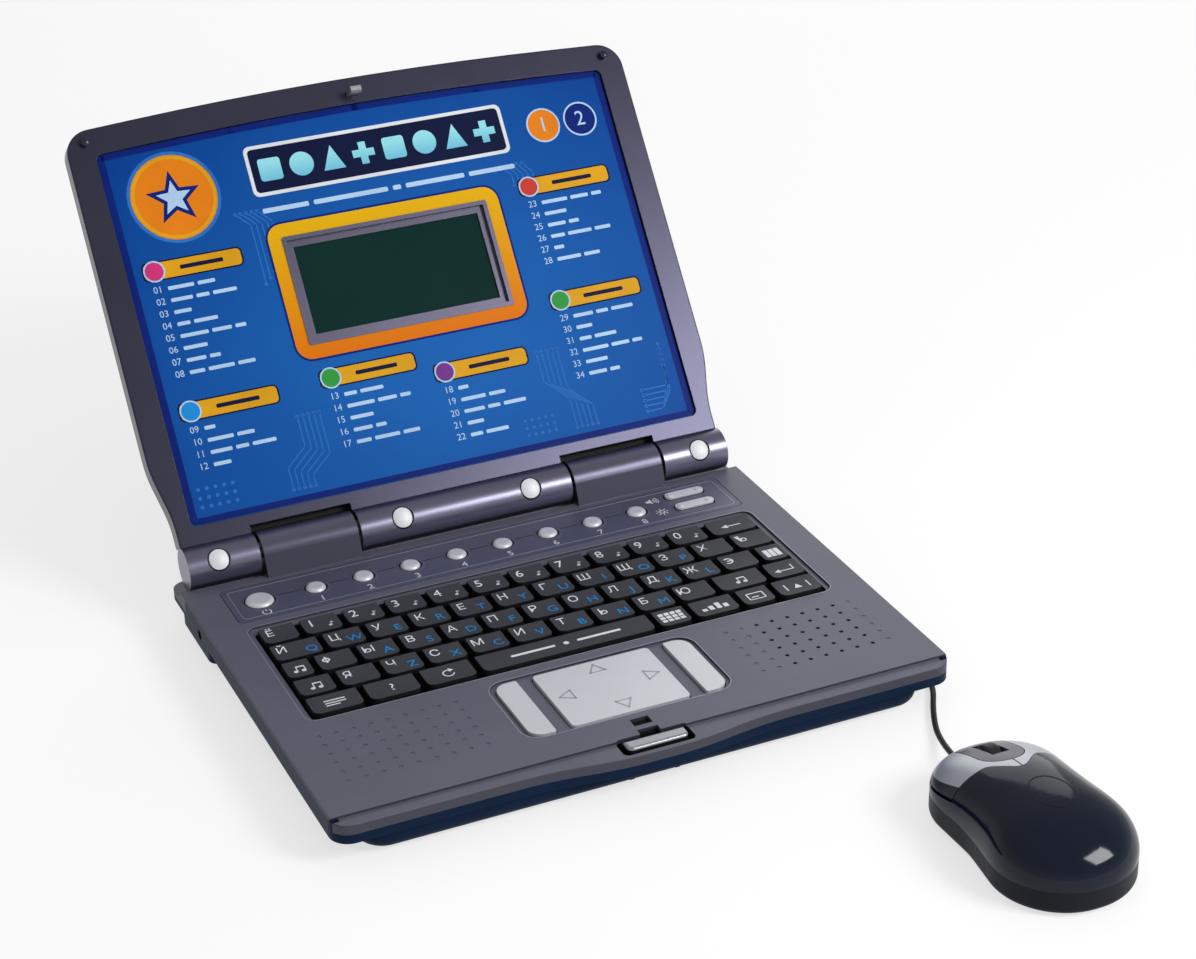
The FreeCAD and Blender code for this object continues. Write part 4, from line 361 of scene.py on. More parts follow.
class Finish(Enum):
    """The finishes of the real object's pieces, some of which also paint light and shade."""

    # The deck paint's wall colour is painted shade on its upright walls and skirt.
    DECK = Moulded(
        "deck_grey_paint", srgb(104, 104, 119), 0.5, metallic=0.36, mottle=0.05, flake=0.2,
        wall=srgb(62, 62, 75), edge=0.5,
    )
    PANEL = Moulded("function_panel_paint", srgb(90, 92, 112), 0.42, metallic=0.4, mottle=0.05, flake=0.2)
    BEZEL = Moulded(
        "lid_grey_paint", srgb(52, 51, 70), 0.26, metallic=0.6, mottle=0.04, flake=0.25, edge=0.4,
    )
    # A lighter copy of the lid paint on the hinge barrels: painted highlight.
    LIT_BARREL = Moulded(
        "hinge_barrel_painted_highlight", srgb(118, 116, 136), 0.3, metallic=0.92, mottle=0.04, flake=0.25, edge=0.3,
    )
    # A lighter copy of the deck paint on the hinge knuckles as painted highlight; its wall colour is
    # painted shade on the aprons.
    LIT_SHADED_KNUCKLE = Moulded(
        "hinge_knuckle_painted_light_and_shade", srgb(118, 116, 136), 0.3, metallic=0.86, mottle=0.04, flake=0.25,
        wall=srgb(74, 73, 88), edge=0.3,
    )
    # Pale lines that stand in for light caught by edges: painted highlight.
    EDGE = Moulded("painted_edge_highlight", srgb(150, 150, 166), 0.34, metallic=0.4, mottle=0.05)
    NAVY = Moulded("navy_tray_plastic", srgb(13, 32, 58), 0.45, mottle=0.06, specular=0.06, edge=0.5)
    # The keys' near-black wall colour is painted shade on their upright sides below the lit tops.
    KEY = Moulded(
        "charcoal_key_plastic", srgb(62, 63, 68), 0.56, mottle=0.05, grain=0.12, specular=0.2,
        wall=srgb(10, 10, 12), edge=0.4,
    )
    SILVER = Moulded(
        "silver_button_paint", srgb(215, 218, 223), 0.45, metallic=0.38, mottle=0.03, flake=0.1, edge=0.3,
    )
    LATCH = Moulded(
        "latch_silver_paint", srgb(158, 159, 164), 0.3, metallic=0.7, mottle=0.03, flake=0.1, edge=0.6,
    )
    CAP = Moulded("bright_cap_paint", srgb(222, 223, 227), 0.5, metallic=0.15, mottle=0.03, flake=0.1)
    RUBBER = Moulded("black_cord_rubber", srgb(20, 20, 23), 0.5, mottle=0.1, grain=0.1, specular=0.35)
    # Black plastic of dark inner parts, also used as painted shade in slots, gaps and hollows.
    BLACK = Moulded("black_plastic_and_painted_shade", srgb(12, 12, 14), 0.6, mottle=0.1, specular=0.2)
    STEEL = Moulded("bright_steel", srgb(190, 190, 192), 0.25, metallic=1.0, mottle=0.05)
    BOARD = Moulded("green_board", srgb(30, 96, 50), 0.5)
    CELL = Moulded("cell_jacket", srgb(40, 40, 44), 0.35, metallic=0.2, coat=0.3)
    MEMBRANE = Moulded("grey_membrane_rubber", srgb(60, 60, 62), 0.7)
    FRAME = Moulded("screen_frame_paint", srgb(84, 80, 100), 0.3, metallic=0.5, mottle=0.05, flake=0.2)
    MOUSE = Moulded("mouse_navy_gloss", srgb(8, 18, 36), 0.1, mottle=0.04, grain=0.01, specular=0.26)
    MOUSE_LOW = Moulded(
        "mouse_under_plastic", srgb(26, 28, 36), 0.42, mottle=0.04, grain=0.03, specular=0.1,
    )
    MOUSE_SILVER = Moulded(
        "mouse_button_paint", srgb(176, 180, 188), 0.36, metallic=0.5, mottle=0.03, flake=0.1,
        foot=srgb(8, 18, 36), foot_height=-36.9, foot_slope=0.31,
    )
    MOUSE_INLAY = Moulded(
        "mouse_inlay_smoke", srgb(66, 64, 82), 0.25, mottle=0.05, grain=0.01, specular=0.4,
    )
    SKATE = Moulded("grey_skate", srgb(120, 120, 124), 0.5)
    LENS = Moulded("red_lens", srgb(150, 40, 40), 0.1)
    PANE = Pane("display_pane", srgb(17, 50, 47))
    SCREEN = ScreenPrint("screen_print_blue", srgb(24, 98, 178), srgb(5, 62, 143))
    INK_WHITE = printed("white_ink", srgb(222, 226, 232), 0.5)
    INK_PALE = printed("pale_blue_ink", srgb(176, 206, 236))
    INK_SKY = printed("sky_line_ink", srgb(44, 112, 192), specular=0.05)
    INK_DEEP = printed("deep_blue_ink", srgb(8, 34, 116), specular=0.05)
    INK_NIGHT = printed("night_blue_ink", srgb(12, 22, 58), specular=0.05)
    INK_CYAN = Fade("cyan_fade_ink", srgb(40, 150, 204), srgb(150, 222, 232), 153, 166)
    INK_AMBER = Fade("amber_fade_ink", srgb(222, 112, 6), srgb(226, 174, 10), 90, 141)
    INK_YELLOW = printed("yellow_ink", srgb(218, 158, 20))
    INK_ORANGE = printed("orange_ink", srgb(226, 126, 16))
    INK_RED = printed("red_ink", srgb(200, 60, 44))
    INK_GREEN = printed("green_ink", srgb(48, 150, 60))
    INK_PINK = printed("pink_ink", srgb(206, 50, 118))
    INK_VIOLET = printed("violet_ink", srgb(118, 50, 140))
    INK_BLUE = printed("key_blue_ink", srgb(24, 138, 212), 0.45)
    INK_GREY = printed("label_grey_ink", srgb(200, 203, 210), 0.5)
    # Darker grey on the embossed pad arrows: painted shade of their relief.
    PAD_ARROW_SHADE = Moulded("pad_arrow_painted_shade", srgb(164, 167, 174), 0.4, metallic=0.3, grain=0.02)

    def material(self) -> bpy.types.Material:
        """The finish's material, built at its first use."""
        return bpy.data.materials.get(self.value.name) or self.value.material()


def dress(finish: Finish, *nodes: str) -> None:
    """Gives CAD nodes their finish."""
    for node in nodes:
        mesh = NODES[node].data
        mesh.materials.clear()
        mesh.materials.append(finish.material())


def two_tone(node: str, second: Finish, picks: Callable[[bpy.types.MeshPolygon], bool]) -> None:
    """Gives the faces of a dressed node that a test picks a second finish."""
    mesh = NODES[node].data
    mesh.materials.append(second.material())
    for face in mesh.polygons:
        face.material_index = int(picks(face))


def join(whole: bmesh.types.BMesh, part: bmesh.types.BMesh) -> None:
    """Adds one shape to another and frees it."""
    mesh = bpy.data.meshes.new("part")
    part.to_mesh(mesh)
    part.free()
    whole.from_mesh(mesh)
    bpy.data.meshes.remove(mesh)


def turned(profile: Sequence[Point], sweep: float = 360, steps: int = 48) -> bmesh.types.BMesh:
    """Turns a line about the Z axis into a surface that faces up.

    Args:
        profile: Reaches and rises of the line's points.
        sweep: Angle of the turn, in degrees.
        steps: Its number of steps.

    Returns:
        The surface.
    """
    shape = bmesh.new()
    spots = [shape.verts.new((reach, 0, rise)) for reach, rise in profile]
    edges = [shape.edges.new(pair) for pair in zip(spots, spots[1:])]
    bmesh.ops.spin(
        shape, geom=[*spots, *edges], cent=(0, 0, 0), axis=(0, 0, 1), angle=math.radians(sweep),
        steps=steps, use_merge=sweep == 360, use_duplicate=False,
    )
    bmesh.ops.remove_doubles(shape, verts=shape.verts, dist=1e-5)
    bmesh.ops.recalc_face_normals(shape, faces=shape.faces)
    if sum(face.normal.z for face in shape.faces) < 0:
        bmesh.ops.reverse_faces(shape, faces=shape.faces)
    return shape


def settle(name: str, shape: bmesh.types.BMesh, finish: Finish, body: str) -> bpy.types.Object:
    """Makes a finished piece of a bmesh and sets it on its body.

    Args:
        name: Piece name.
        shape: The shape in metres in the row frame; it is freed.
        finish: Its finish.
        body: CAD body that it rides on.

    Returns:
        The new object.
    """
    mesh = bpy.data.meshes.new(name)
    shape.to_mesh(mesh)
    shape.free()
    mesh.materials.append(finish.material())
    piece = bpy.data.objects.new(name, mesh)
    bpy.context.scene.collection.objects.link(piece)
    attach(piece, body)
    LOG.info("piece %s on %s", name, body)
    return piece


@dataclass
class Stencil:
    """Flat marks in one finish, print and also painted shade and highlight, laid out in millimetres on a
    plane.
    """

    name: str
    plane: Matrix
    finish: Finish
    body: str
    slot: str
    thickness: float = 0.05
    lift: Callable[[float, float], float] | None = None
    shape: bmesh.types.BMesh = field(default_factory=bmesh.new)

    def take(self, mark: bmesh.types.BMesh, x: float, y: float, turn: float = 0.0) -> Self:
        """Moves a mark to its place on the plane and keeps it.

        Args:
            mark: Flat mark about its own origin, in millimetres; it is freed.
            x, y: Its place on the plane.
            turn: Turn about the plane's normal, in degrees.

        Returns:
            The stencil, for the next mark.
        """
        move = Matrix.Translation((x, y, 0)) @ Matrix.Rotation(math.radians(turn), 4, "Z")
        bmesh.ops.transform(mark, matrix=move, verts=mark.verts)
        if self.lift:
            for vert in mark.verts:
                vert.co.z += self.lift(vert.co.x, vert.co.y)
        bmesh.ops.transform(mark, matrix=self.plane @ Matrix.Scale(MM, 4), verts=mark.verts)
        join(self.shape, mark)
        return self

    @staticmethod
    def plate(width: float, height: float, radius: float) -> bmesh.types.BMesh:
        """A flat rectangle about its own origin, with round corners if a radius is given."""
        mark = bmesh.new()
        bmesh.ops.create_grid(mark, x_segments=1, y_segments=1, size=0.5)
        bmesh.ops.scale(mark, vec=(width, height, 1), verts=mark.verts)
        if radius:
            bmesh.ops.bevel(
                mark, geom=mark.verts, offset=radius, offset_type="OFFSET", segments=5, profile=0.5,
                affect="VERTICES", material=-1,
            )
        return mark

    def bar(
        self, x: float, y: float, width: float, height: float, radius: float = 0.0, turn: float = 0.0,
    ) -> Self:
        """A filled rectangle about a point."""
        return self.take(self.plate(width, height, radius), x, y, turn)

    def disc(self, x: float, y: float, radius: float, sides: int = 32) -> Self:
        """A filled circle."""
        mark = bmesh.new()
        bmesh.ops.create_circle(mark, cap_ends=True, segments=sides, radius=radius)
        return self.take(mark, x, y)

    def ring(
        self, x: float, y: float, radius: float, width: float,
        sweep: float = 360, turn: float = 0, tall: float = 1,
    ) -> Self:
        """A circle line, or an arc of it that starts at a turn.

        Args:
            x, y: Middle of the circle.
            radius, width: Radius and width of its line.
            sweep: Angle that the line covers, in degrees.
            turn: Angle at which it starts.
            tall: Height against width, for an oval.

        Returns:
            The stencil, for the next mark.
        """
        line = ((radius - width / 2, 0), (radius + width / 2, 0))
        mark = turned(line, sweep, max(8, int(sweep / 11)))
        bmesh.ops.scale(mark, vec=(1, tall, 1), verts=mark.verts)
        return self.take(mark, x, y, turn)

    def outline(self, x: float, y: float, width: float, height: float, radius: float, line: float) -> Self:
        """The line of a rounded rectangle, just inside its edge."""
        mark = self.plate(width, height, radius)
        inner = mark.faces[:]
        bmesh.ops.inset_region(mark, faces=inner, thickness=line, use_even_offset=True, use_boundary=True)
        bmesh.ops.delete(mark, geom=inner, context="FACES")
        return self.take(mark, x, y)

    def patch(self, x: float, y: float, points: Sequence[Point]) -> Self:
        """A small filled shape from a few corners, anticlockwise."""
        mark = bmesh.new()
        mark.faces.new([mark.verts.new((*point, 0)) for point in points])
        return self.take(mark, x, y)

    def path(self, x: float, y: float, points: Sequence[Point], width: float) -> Self:
        """A run of thin straight lines through points about a place."""
        for (x0, y0), (x1, y1) in zip(points, points[1:]):
            run = math.hypot(x1 - x0, y1 - y0)
            turn = math.degrees(math.atan2(y1 - y0, x1 - x0))
            self.bar(x + (x0 + x1) / 2, y + (y0 + y1) / 2, run + width * 0.9, width, 0.0, turn)
        return self

    def text(self, x: float, y: float, size: float, words: str) -> Self:
        """Plain characters about a point; size is the height of a capital."""
        curve = bpy.data.curves.new("mark", "FONT")
        curve.body = words
        curve.size = size / CAPITAL
        curve.align_x = "CENTER"
        curve.align_y = "CENTER"
        curve.resolution_u = 3
        glyphs = bpy.data.objects.new("mark", curve)
        bpy.context.scene.collection.objects.link(glyphs)
        bpy.context.view_layer.update()
        depsgraph = bpy.context.evaluated_depsgraph_get()
        flat = bpy.data.meshes.new_from_object(glyphs.evaluated_get(depsgraph))
        mark = bmesh.new()
        mark.from_mesh(flat)
        bpy.data.objects.remove(glyphs)
        bpy.data.curves.remove(curve)
        bpy.data.meshes.remove(flat)
        bmesh.ops.remove_doubles(mark, verts=mark.verts, dist=1e-5)
        return self.take(mark, x, y)

    def draw(self, marks: Sequence[Mark], x: float = 0.0, y: float = 0.0) -> Self:
        """Adds marks about a point.

        Args:
            marks: For each, a call of the stencil, the place from the point, and the sizes.
            x, y: The point.

        Returns:
            The stencil, for the next mark.
        """
        for call, right, up, *sizes in marks:
            getattr(self, call)(x + right, y + up, *sizes)
        return self

    def finish_piece(self) -> None:
        """Gives the marks their thickness and sets them on their body."""
        piece = settle(self.name, self.shape, self.finish, self.body)
        skin = piece.modifiers.new("ink", "SOLIDIFY")
        skin.thickness = self.thickness * MM
        skin.offset = 1.0


class Sign(Enum):
    """Small plain signs, as marks about their middles."""

    POWER = (("ring", 0, -0.6, 1.9, 0.5, 290, 125), ("bar", 0, 1.0, 0.5, 2.2))
    SPEAKER = (
        ("patch", 0, 0, ((-2.4, -0.9), (-1.2, -0.9), (0.4, -2.2), (0.4, 2.2), (-1.2, 0.9), (-2.4, 0.9))),
        *(("ring", 0, 0, radius, 0.4, 90, -45) for radius in (1.6, 2.6, 3.6)),
    )
    SUN = (
        ("ring", 0, 0, 1.2, 0.5),
        *(("bar", *polar(2.5, turn), 1.3, 0.45, 0, turn) for turn in range(0, 360, 45)),
    )
    TONE = (
        ("disc", -0.5, -2.2, 0.8, 14), ("bar", 0.15, -0.9, 0.35, 2.8), ("bar", 0.7, 0.2, 1.4, 0.5, 0, -25),
    )
    SPACE = (("disc", 0, 0, 1.2, 20), ("bar", -15, 0, 20, 1.5, 0.6), ("bar", 15, 0, 20, 1.5, 0.6))
    NOTE = (
        ("disc", -1.6, -1.7, 1.0, 16), ("bar", -0.8, 0.1, 0.45, 3.6), ("disc", 1.8, -1.7, 1.0, 16),
        ("bar", 2.6, 0.1, 0.45, 3.6), ("bar", 0.9, 1.9, 3.8, 0.8),
    )
    PIANO = tuple(("bar", x, 0, 2.2, 6.4) for x in (-2.6, 0, 2.6))
    ENTER = (
        ("bar", 4.0, 0.8, 0.6, 4.14), ("bar", 0.5, -1.0, 7.54, 0.6),
        ("patch", -3.4, -1.0, ((-1.8, 0), (0.8, -1.5), (0.8, 1.5))),
    )
    ERASE = (("bar", 1.2, 0, 7.0, 0.6), ("patch", -2.6, 0, ((-2.2, 0), (0.8, -1.6), (0.8, 1.6))))
    GRID = tuple(("bar", x, y, 2.2, 2.0) for x in (-4.2, -1.4, 1.4, 4.2) for y in (-2.2, 0.4, 3.0))
    STEPS = tuple(
        ("bar", x, tall / 2 - 2.4, 2.2, tall)
        for x, tall in ((-5.0, 2.0), (-1.7, 3.4), (1.7, 4.8), (5.0, 3.0))
    )
    SCREEN = (("outline", 0, 0, 8.0, 5.6, 0.8, 0.6), ("bar", -0.6, -0.6, 3.4, 0.7))
    SPAN = (
        ("bar", -5.4, 0, 0.6, 5.0), ("bar", 5.4, 0, 0.6, 5.0),
        ("patch", 0, -0.4, ((-1.8, -1.4), (1.8, -1.4), (0, 2.0))),
    )
    LINES = (("bar", 0, 1.8, 9.0, 0.7), ("bar", 0, 0, 9.0, 0.7), ("bar", -1.5, -1.8, 6.0, 0.7))
    HELP = (("text", 0, 0, 5.0, "?"),)
    AGAIN = (
        ("ring", 0, 0, 2.3, 0.6, 290, 60), ("patch", 1.2, 2.1, ((-0.6, -1.2), (1.6, -0.2), (-0.4, 1.4))),
    )


@dataclass(frozen=True)
class Lamp:
    """A square soft light aimed at a point, in metres and watts."""

    name: str
    place: Place
    aim: Place
    width: float
    watts: float

    def build(self) -> None:
        """Sets the light up."""
        data = bpy.data.lights.new(self.name, "AREA")
        data.size = self.width
        data.energy = self.watts
        light = bpy.data.objects.new(self.name, data)
        light.location = self.place
        way = Vector(self.aim) - Vector(self.place)
        light.rotation_euler = way.to_track_quat("-Z", "Y").to_euler()
        bpy.context.scene.collection.objects.link(light)


@dataclass
class Studio:
    """Pale floor, soft lights and the camera at the photograph's angle."""

    camera_place: Place = (-0.38672, -0.93181, 0.60772)
    right: Place = (0.909878, -0.414284, -0.022133)
    down: Place = (-0.208644, -0.410820, -0.887521)
    ahead: Place = (0.358593, 0.812155, -0.460234)
    lens: float = 82.49
    sensor: float = 36.0
    lamps: tuple[Lamp, ...] = (
        Lamp("key_light", (0.885, -1.08, 1.01), (0.05, 0.08, 0.08), 0.6, 17.0),
        Lamp("back_light", (0.9, 1.5, 0.75), (0.05, 0.0, 0.02), 1.2, 5.0),
    )
    wall_low: float = 0.1
    wall_high: float = 0.4
    wall_light: float = 0.7
    ceiling_light: float = 0.46
    floor_colour: Colour = (0.9, 0.9, 0.9)
    floor_glow: float = 0.66
    floor_share: float = 0.38
    floor_reach: float = 6.0

    def camera(self) -> None:
        """Places the camera."""
        data = bpy.data.cameras.new("camera")
        data.sensor_fit = "HORIZONTAL"
        data.sensor_width = self.sensor
        data.lens = self.lens
        data.clip_end = 20.0
        view = bpy.data.objects.new("camera", data)
        axes = (Vector(self.right), -Vector(self.down), -Vector(self.ahead))
        turn = Matrix([axis.normalized() for axis in axes]).transposed().to_4x4()
        view.matrix_world = Matrix.Translation(self.camera_place) @ turn
        bpy.context.scene.collection.objects.link(view)
        bpy.context.scene.camera = view

    def world(self) -> None:
        """A studio with a pale wall along the horizon and a dimmer ceiling."""
        bpy.context.scene.world = bpy.data.worlds.new("studio")
        make = Nodes(bpy.context.scene.world, "Background")
        height = make.upward(make.add("ShaderNodeTexCoord").outputs["Generated"])
        light = make.remap(height, self.wall_low, self.wall_high, self.wall_light, self.ceiling_light)
        make.shade(Color=(1, 1, 1, 1))
        make.paint(Strength=light)

    def floor(self) -> None:
        """White floor that keeps a faint shadow of the object."""
        make = Nodes(bpy.data.materials.new("pale_floor"))
        ray = make.add("ShaderNodeLightPath")
        seen = ray.outputs["Is Camera Ray"]
        for kind in ("Is Glossy Ray", "Is Transmission Ray"):
            either = make.add("ShaderNodeMath", operation="MAXIMUM")
            make.link(seen, either.inputs[0])
            make.link(ray.outputs[kind], either.inputs[1])
            seen = either.outputs["Value"]
        tone = make.mix(seen, self.floor_colour, (self.floor_share,) * 3)
        make.paint(Base_Color=tone, Emission_Strength=make.times(seen, self.floor_glow))
        make.shade(Roughness=0.9, Specular_IOR_Level=0.0, Emission_Color=(1, 1, 1, 1))
        shape = bmesh.new()
        bmesh.ops.create_grid(shape, x_segments=1, y_segments=1, size=self.floor_reach)
        mesh = bpy.data.meshes.new("floor")
        shape.to_mesh(mesh)
        shape.free()
        mesh.materials.append(make.owner)
        ground = bpy.data.objects.new("floor", mesh)
        bpy.context.scene.collection.objects.link(ground)

    def build(self) -> None:
        """Sets the whole studio."""
        self.camera()
        self.world()
        self.floor()
        for lamp in self.lamps:
            lamp.build()
        bpy.context.scene.view_settings.view_transform = "Standard"


@dataclass
class Base:
    """Deck and tray with their buttons, pad, latch and inner parts."""

    button_row: float = FRONT + 176.2
    button_first: float = -80.8
    button_pitch: float = 22.0
    button_radius: float = 4.45
    button_count: int = 8
    button_gap: float = 0.7
    power_place: float = -106.4
    power_radius: float = 6.3
    collar: tuple[Point, ...] = ((0.7, -0.05), (0.7, 0.3), (1.0, 0.36), (2.0, -0.02))
    collar_room: float = 2.2
    groove_row: float = FRONT + 177.8
    rocker_place: float = 100.4
    rocker_rows: Point = (FRONT + 182.6, FRONT + 171.4)
    rocker_size: Point = (20.4, 6.4)
    rocker_corner: float = 3.1
    speaker_sign: float = 83.5
    sun_sign: float = 84.0
    label_row: float = FRONT + 166.6
    label_size: float = 4.0
    panel_middle: float = FRONT + 176.3
    panel_size: Point = (235.2, 25.4)
    panel_corner: float = 2.0
    ledge_span: Point = (FRONT + 74.4, FRONT + 156.0)
    ledge_width: float = 239.9
    ledge_corner: float = 5.2
    recess_span: Point = (FRONT + 22.6, FRONT + 68.6)
    recess_width: float = 93.3
    recess_corner: float = 8.2
    line_width: float = 0.35
    pad_middle: float = FRONT + 44.8
    pad_rise: float = 0.5
    arrow: tuple[Point, ...] = ((-3.4, -2.55), (3.4, -2.55), (0, 3.23), (-3.4, -2.55))
    arrow_line: float = 0.6
    arrow_places: tuple[Place, ...] = ((0, 15.0, 0), (-19.0, 1.0, 90), (0, -14.5, 180), (19.0, 1.0, 270))
    slot_middle: float = FRONT + 16.2
    slot_size: Point = (7.8, 5.0)
    slot_depth: float = 1.8
    latch_plate_top: float = DECK - 1.0
    knuckle_foot: float = DECK + 0.6
    grille_first: float = 61.0
    grille_pitch: float = 7.3
    grille_columns: int = 9
    grille_front: float = FRONT + 27.8
    grille_row: float = 6.9
    grille_rows: int = 6
    dimple_radius: float = 0.88
    dimple_depth: float = 0.5

    def build(self) -> None:
        """Dresses the nodes and adds the marks and trim of the deck."""
        self.plastics()
        self.latch_plate()
        self.knuckles()
        self.dimples()
        self.panel_marks()
        self.panel_trim()
        self.collars()
        self.deck_lines()
        self.pad_marks()

    def plastics(self) -> None:
        """Dresses the nodes, hidden ones too."""
        dress(Finish.DECK, "base_top_shell")
        dress(Finish.NAVY, "base_bottom_shell", "battery_door")
        dress(Finish.PANEL, "function_panel")
        dress(Finish.CELL, "batteries")
        dress(Finish.STEEL, "battery_contacts", "hinge_pins", "base_screws", "latch_spring")
        dress(Finish.BOARD, "main_board")
        dress(Finish.MEMBRANE, "keypad_membrane")
        dress(Finish.BLACK, "speaker", "dc_socket", "pad_pivot")
        dress(Finish.RUBBER, "cord_outlet", "rubber_feet")
        dress(Finish.LATCH, "latch_release")
        dress(Finish.SILVER, "power_button", "volume_rocker", "contrast_rocker")
        dress(Finish.SILVER, *(f"function_button_{step + 1}" for step in range(self.button_count)))
        dress(Finish.SILVER, "direction_pad", "left_pad_button", "right_pad_button")

    def latch_plate(self) -> None:
        """Paints the latch's hidden plate black as painted shade, and closes the slot behind it with a
        black floor of painted shade.
        """
        top = self.latch_plate_top * MM
        two_tone("latch_release", Finish.BLACK, lambda face: face.center.z < top)
        # A black sheet of painted shade under the slot.
        plane = level_plane(DECK - self.slot_depth)
        floor = Stencil("slot_floor_shade", plane, Finish.BLACK, "base", "speaker_black", thickness=0.1)
        floor.bar(0, self.slot_middle, *self.slot_size).finish_piece()

    def knuckles(self) -> None:
        """Gives the deck's two hinge knuckles the lighter paint of the lid's barrels, as painted highlight,
        with painted shade on their aprons.
        """
        foot = self.knuckle_foot * MM
        two_tone("base_top_shell", Finish.LIT_SHADED_KNUCKLE, lambda face: face.center.z > foot)

    def dimples(self) -> None:
        """Raises the floors of the blind dimples beside the speaker and on the left palm rest."""
        plane = level_plane(DECK - self.dimple_depth)
        floors = Stencil("dimple_floors", plane, Finish.DECK, "base", "deck_grey", thickness=0.36)
        columns = [self.grille_first + self.grille_pitch * step for step in range(self.grille_columns)]
        for x in [*columns[:2], columns[-1], *(-x for x in columns)]:
            for row in range(self.grille_rows):
                floors.disc(x, self.grille_front + self.grille_row * row, self.dimple_radius, 12)
        floors.finish_piece()

    def buttons(self) -> list[Point]:
        """Places and radii of the power button and the round function buttons."""
        steps = range(self.button_count)
        row = [(self.button_first + self.button_pitch * step, self.button_radius) for step in steps]
        return [(self.power_place, self.power_radius), *row]

    def panel_marks(self) -> None:
        """Plain numbers under the round buttons, a power sign, a speaker and a sun."""
        marks = Stencil("panel_marks", level_plane(DECK), Finish.INK_GREY, "base", "silver_plastic")
        for number, (x, _radius) in enumerate(self.buttons()[1:], start=1):
            marks.text(x, self.label_row, self.label_size, str(number))
        speaker_row, sun_row = self.rocker_rows
        marks.draw(Sign.POWER.value, self.power_place, self.label_row)
        marks.draw(Sign.SPEAKER.value, self.speaker_sign, speaker_row)
        marks.draw(Sign.SUN.value, self.sun_sign, sun_row)
        marks.finish_piece()

    def panel_trim(self) -> None:
        """Black painted shade in the groove that joins the round buttons and in the gaps about the buttons,
        and the panel's raised edge line, pale as painted highlight.
        """
        plane = level_plane(DECK)
        # Painted shade: a black line in the groove and black rings in the gaps.
        groove = Stencil("panel_groove_shade", plane, Finish.BLACK, "base", "panel_grey", thickness=0.03)
        buttons = self.buttons()
        for (left, left_radius), (right, right_radius) in zip(buttons, buttons[1:]):
            start, end = left + left_radius + self.collar_room, right - right_radius - self.collar_room
            groove.bar((start + end) / 2, self.groove_row, end - start, self.line_width)
        for x, radius in buttons:
            groove.ring(x, self.button_row, radius + self.button_gap / 2, self.button_gap)
        for row in self.rocker_rows:
            groove.outline(self.rocker_place, row, *self.rocker_size, self.rocker_corner, self.button_gap)
        groove.finish_piece()
        # A real raised line, in pale paint that stands in for its highlight.
        edge = Stencil("panel_line", plane, Finish.EDGE, "base", "deck_grey", thickness=0.12)
        edge.outline(0, self.panel_middle, *self.panel_size, self.panel_corner, self.line_width)
        edge.finish_piece()

    def collars(self) -> None:
        """Low sloped rims turned about each round button."""
        shape = bmesh.new()
        for x, radius in self.buttons():
            turn = turned([(radius + reach, rise) for reach, rise in self.collar])
            place = level_plane(DECK) @ Matrix.Scale(MM, 4) @ Matrix.Translation((x, self.button_row, 0))
            bmesh.ops.transform(turn, matrix=place, verts=turn.verts)
            for face in turn.faces:
                face.smooth = True
            join(shape, turn)
        settle("button_collars", shape, Finish.PANEL, "base")

    def deck_lines(self) -> None:
        """Painted highlight lines along the edges of the keyboard ledge and the pad recess."""
        plane = level_plane(DECK)
        lines = Stencil("deck_edge_highlights", plane, Finish.EDGE, "base", "deck_grey", thickness=0.06)
        ledge = (self.ledge_span, self.ledge_width, self.ledge_corner)
        recess = (self.recess_span, self.recess_width, self.recess_corner)
        for (low, high), width, corner in (ledge, recess):
            height = high - low + self.line_width * 2
            lines.outline(0, (low + high) / 2, width, height, corner, self.line_width)
        lines.finish_piece()

    def pad_marks(self) -> None:
        """Four raised triangle outlines on the direction pad, in a darker grey that is painted shade of the
        embossed arrows.
        """
        plane = level_plane(DECK + self.pad_rise)
        body, slot = "direction_pad", "silver_plastic"
        marks = Stencil("pad_arrows", plane, Finish.PAD_ARROW_SHADE, body, slot, thickness=0.15)
        for x, y, turn in self.arrow_places:
            rotate = Matrix.Rotation(math.radians(turn), 2)
            corners = [tuple(rotate @ Vector(corner)) for corner in self.arrow]
            marks.path(x, self.pad_middle + y, corners, self.arrow_line)
        marks.finish_piece()


LEGENDS: dict[str, tuple[list, list]] = {
    "number": (["Ё", *"1234567890", Sign.ERASE], [""] * 12),
    "top": ([*"ЙЦУКЕНГШЩЗХЪ"], [*"QWERTYUIOP", "", ""]),
    "home": ([Sign.NOTE, *"ФЫВАПРОЛДЖЭ", Sign.PIANO], ["", "", *"ASDFGHJKL", "", ""]),
    "bottom": ([Sign.NOTE, *"ЯЧСМИТЬБЮ", Sign.NOTE, Sign.ENTER], ["", "", *"ZXCVBNM", "", "", ""]),
    "command": (
        [Sign.LINES, Sign.HELP, Sign.AGAIN, "", Sign.GRID, Sign.STEPS, Sign.SCREEN, Sign.SPAN],
        [""] * 8,
    ),
}


@dataclass(frozen=True)
class Legend:
    """One ink of the keys: hand, distances from the key's side and middle line, and height."""

    colour: str
    finish: Finish
    hand: int
    side: float
    off: float
    tall: float


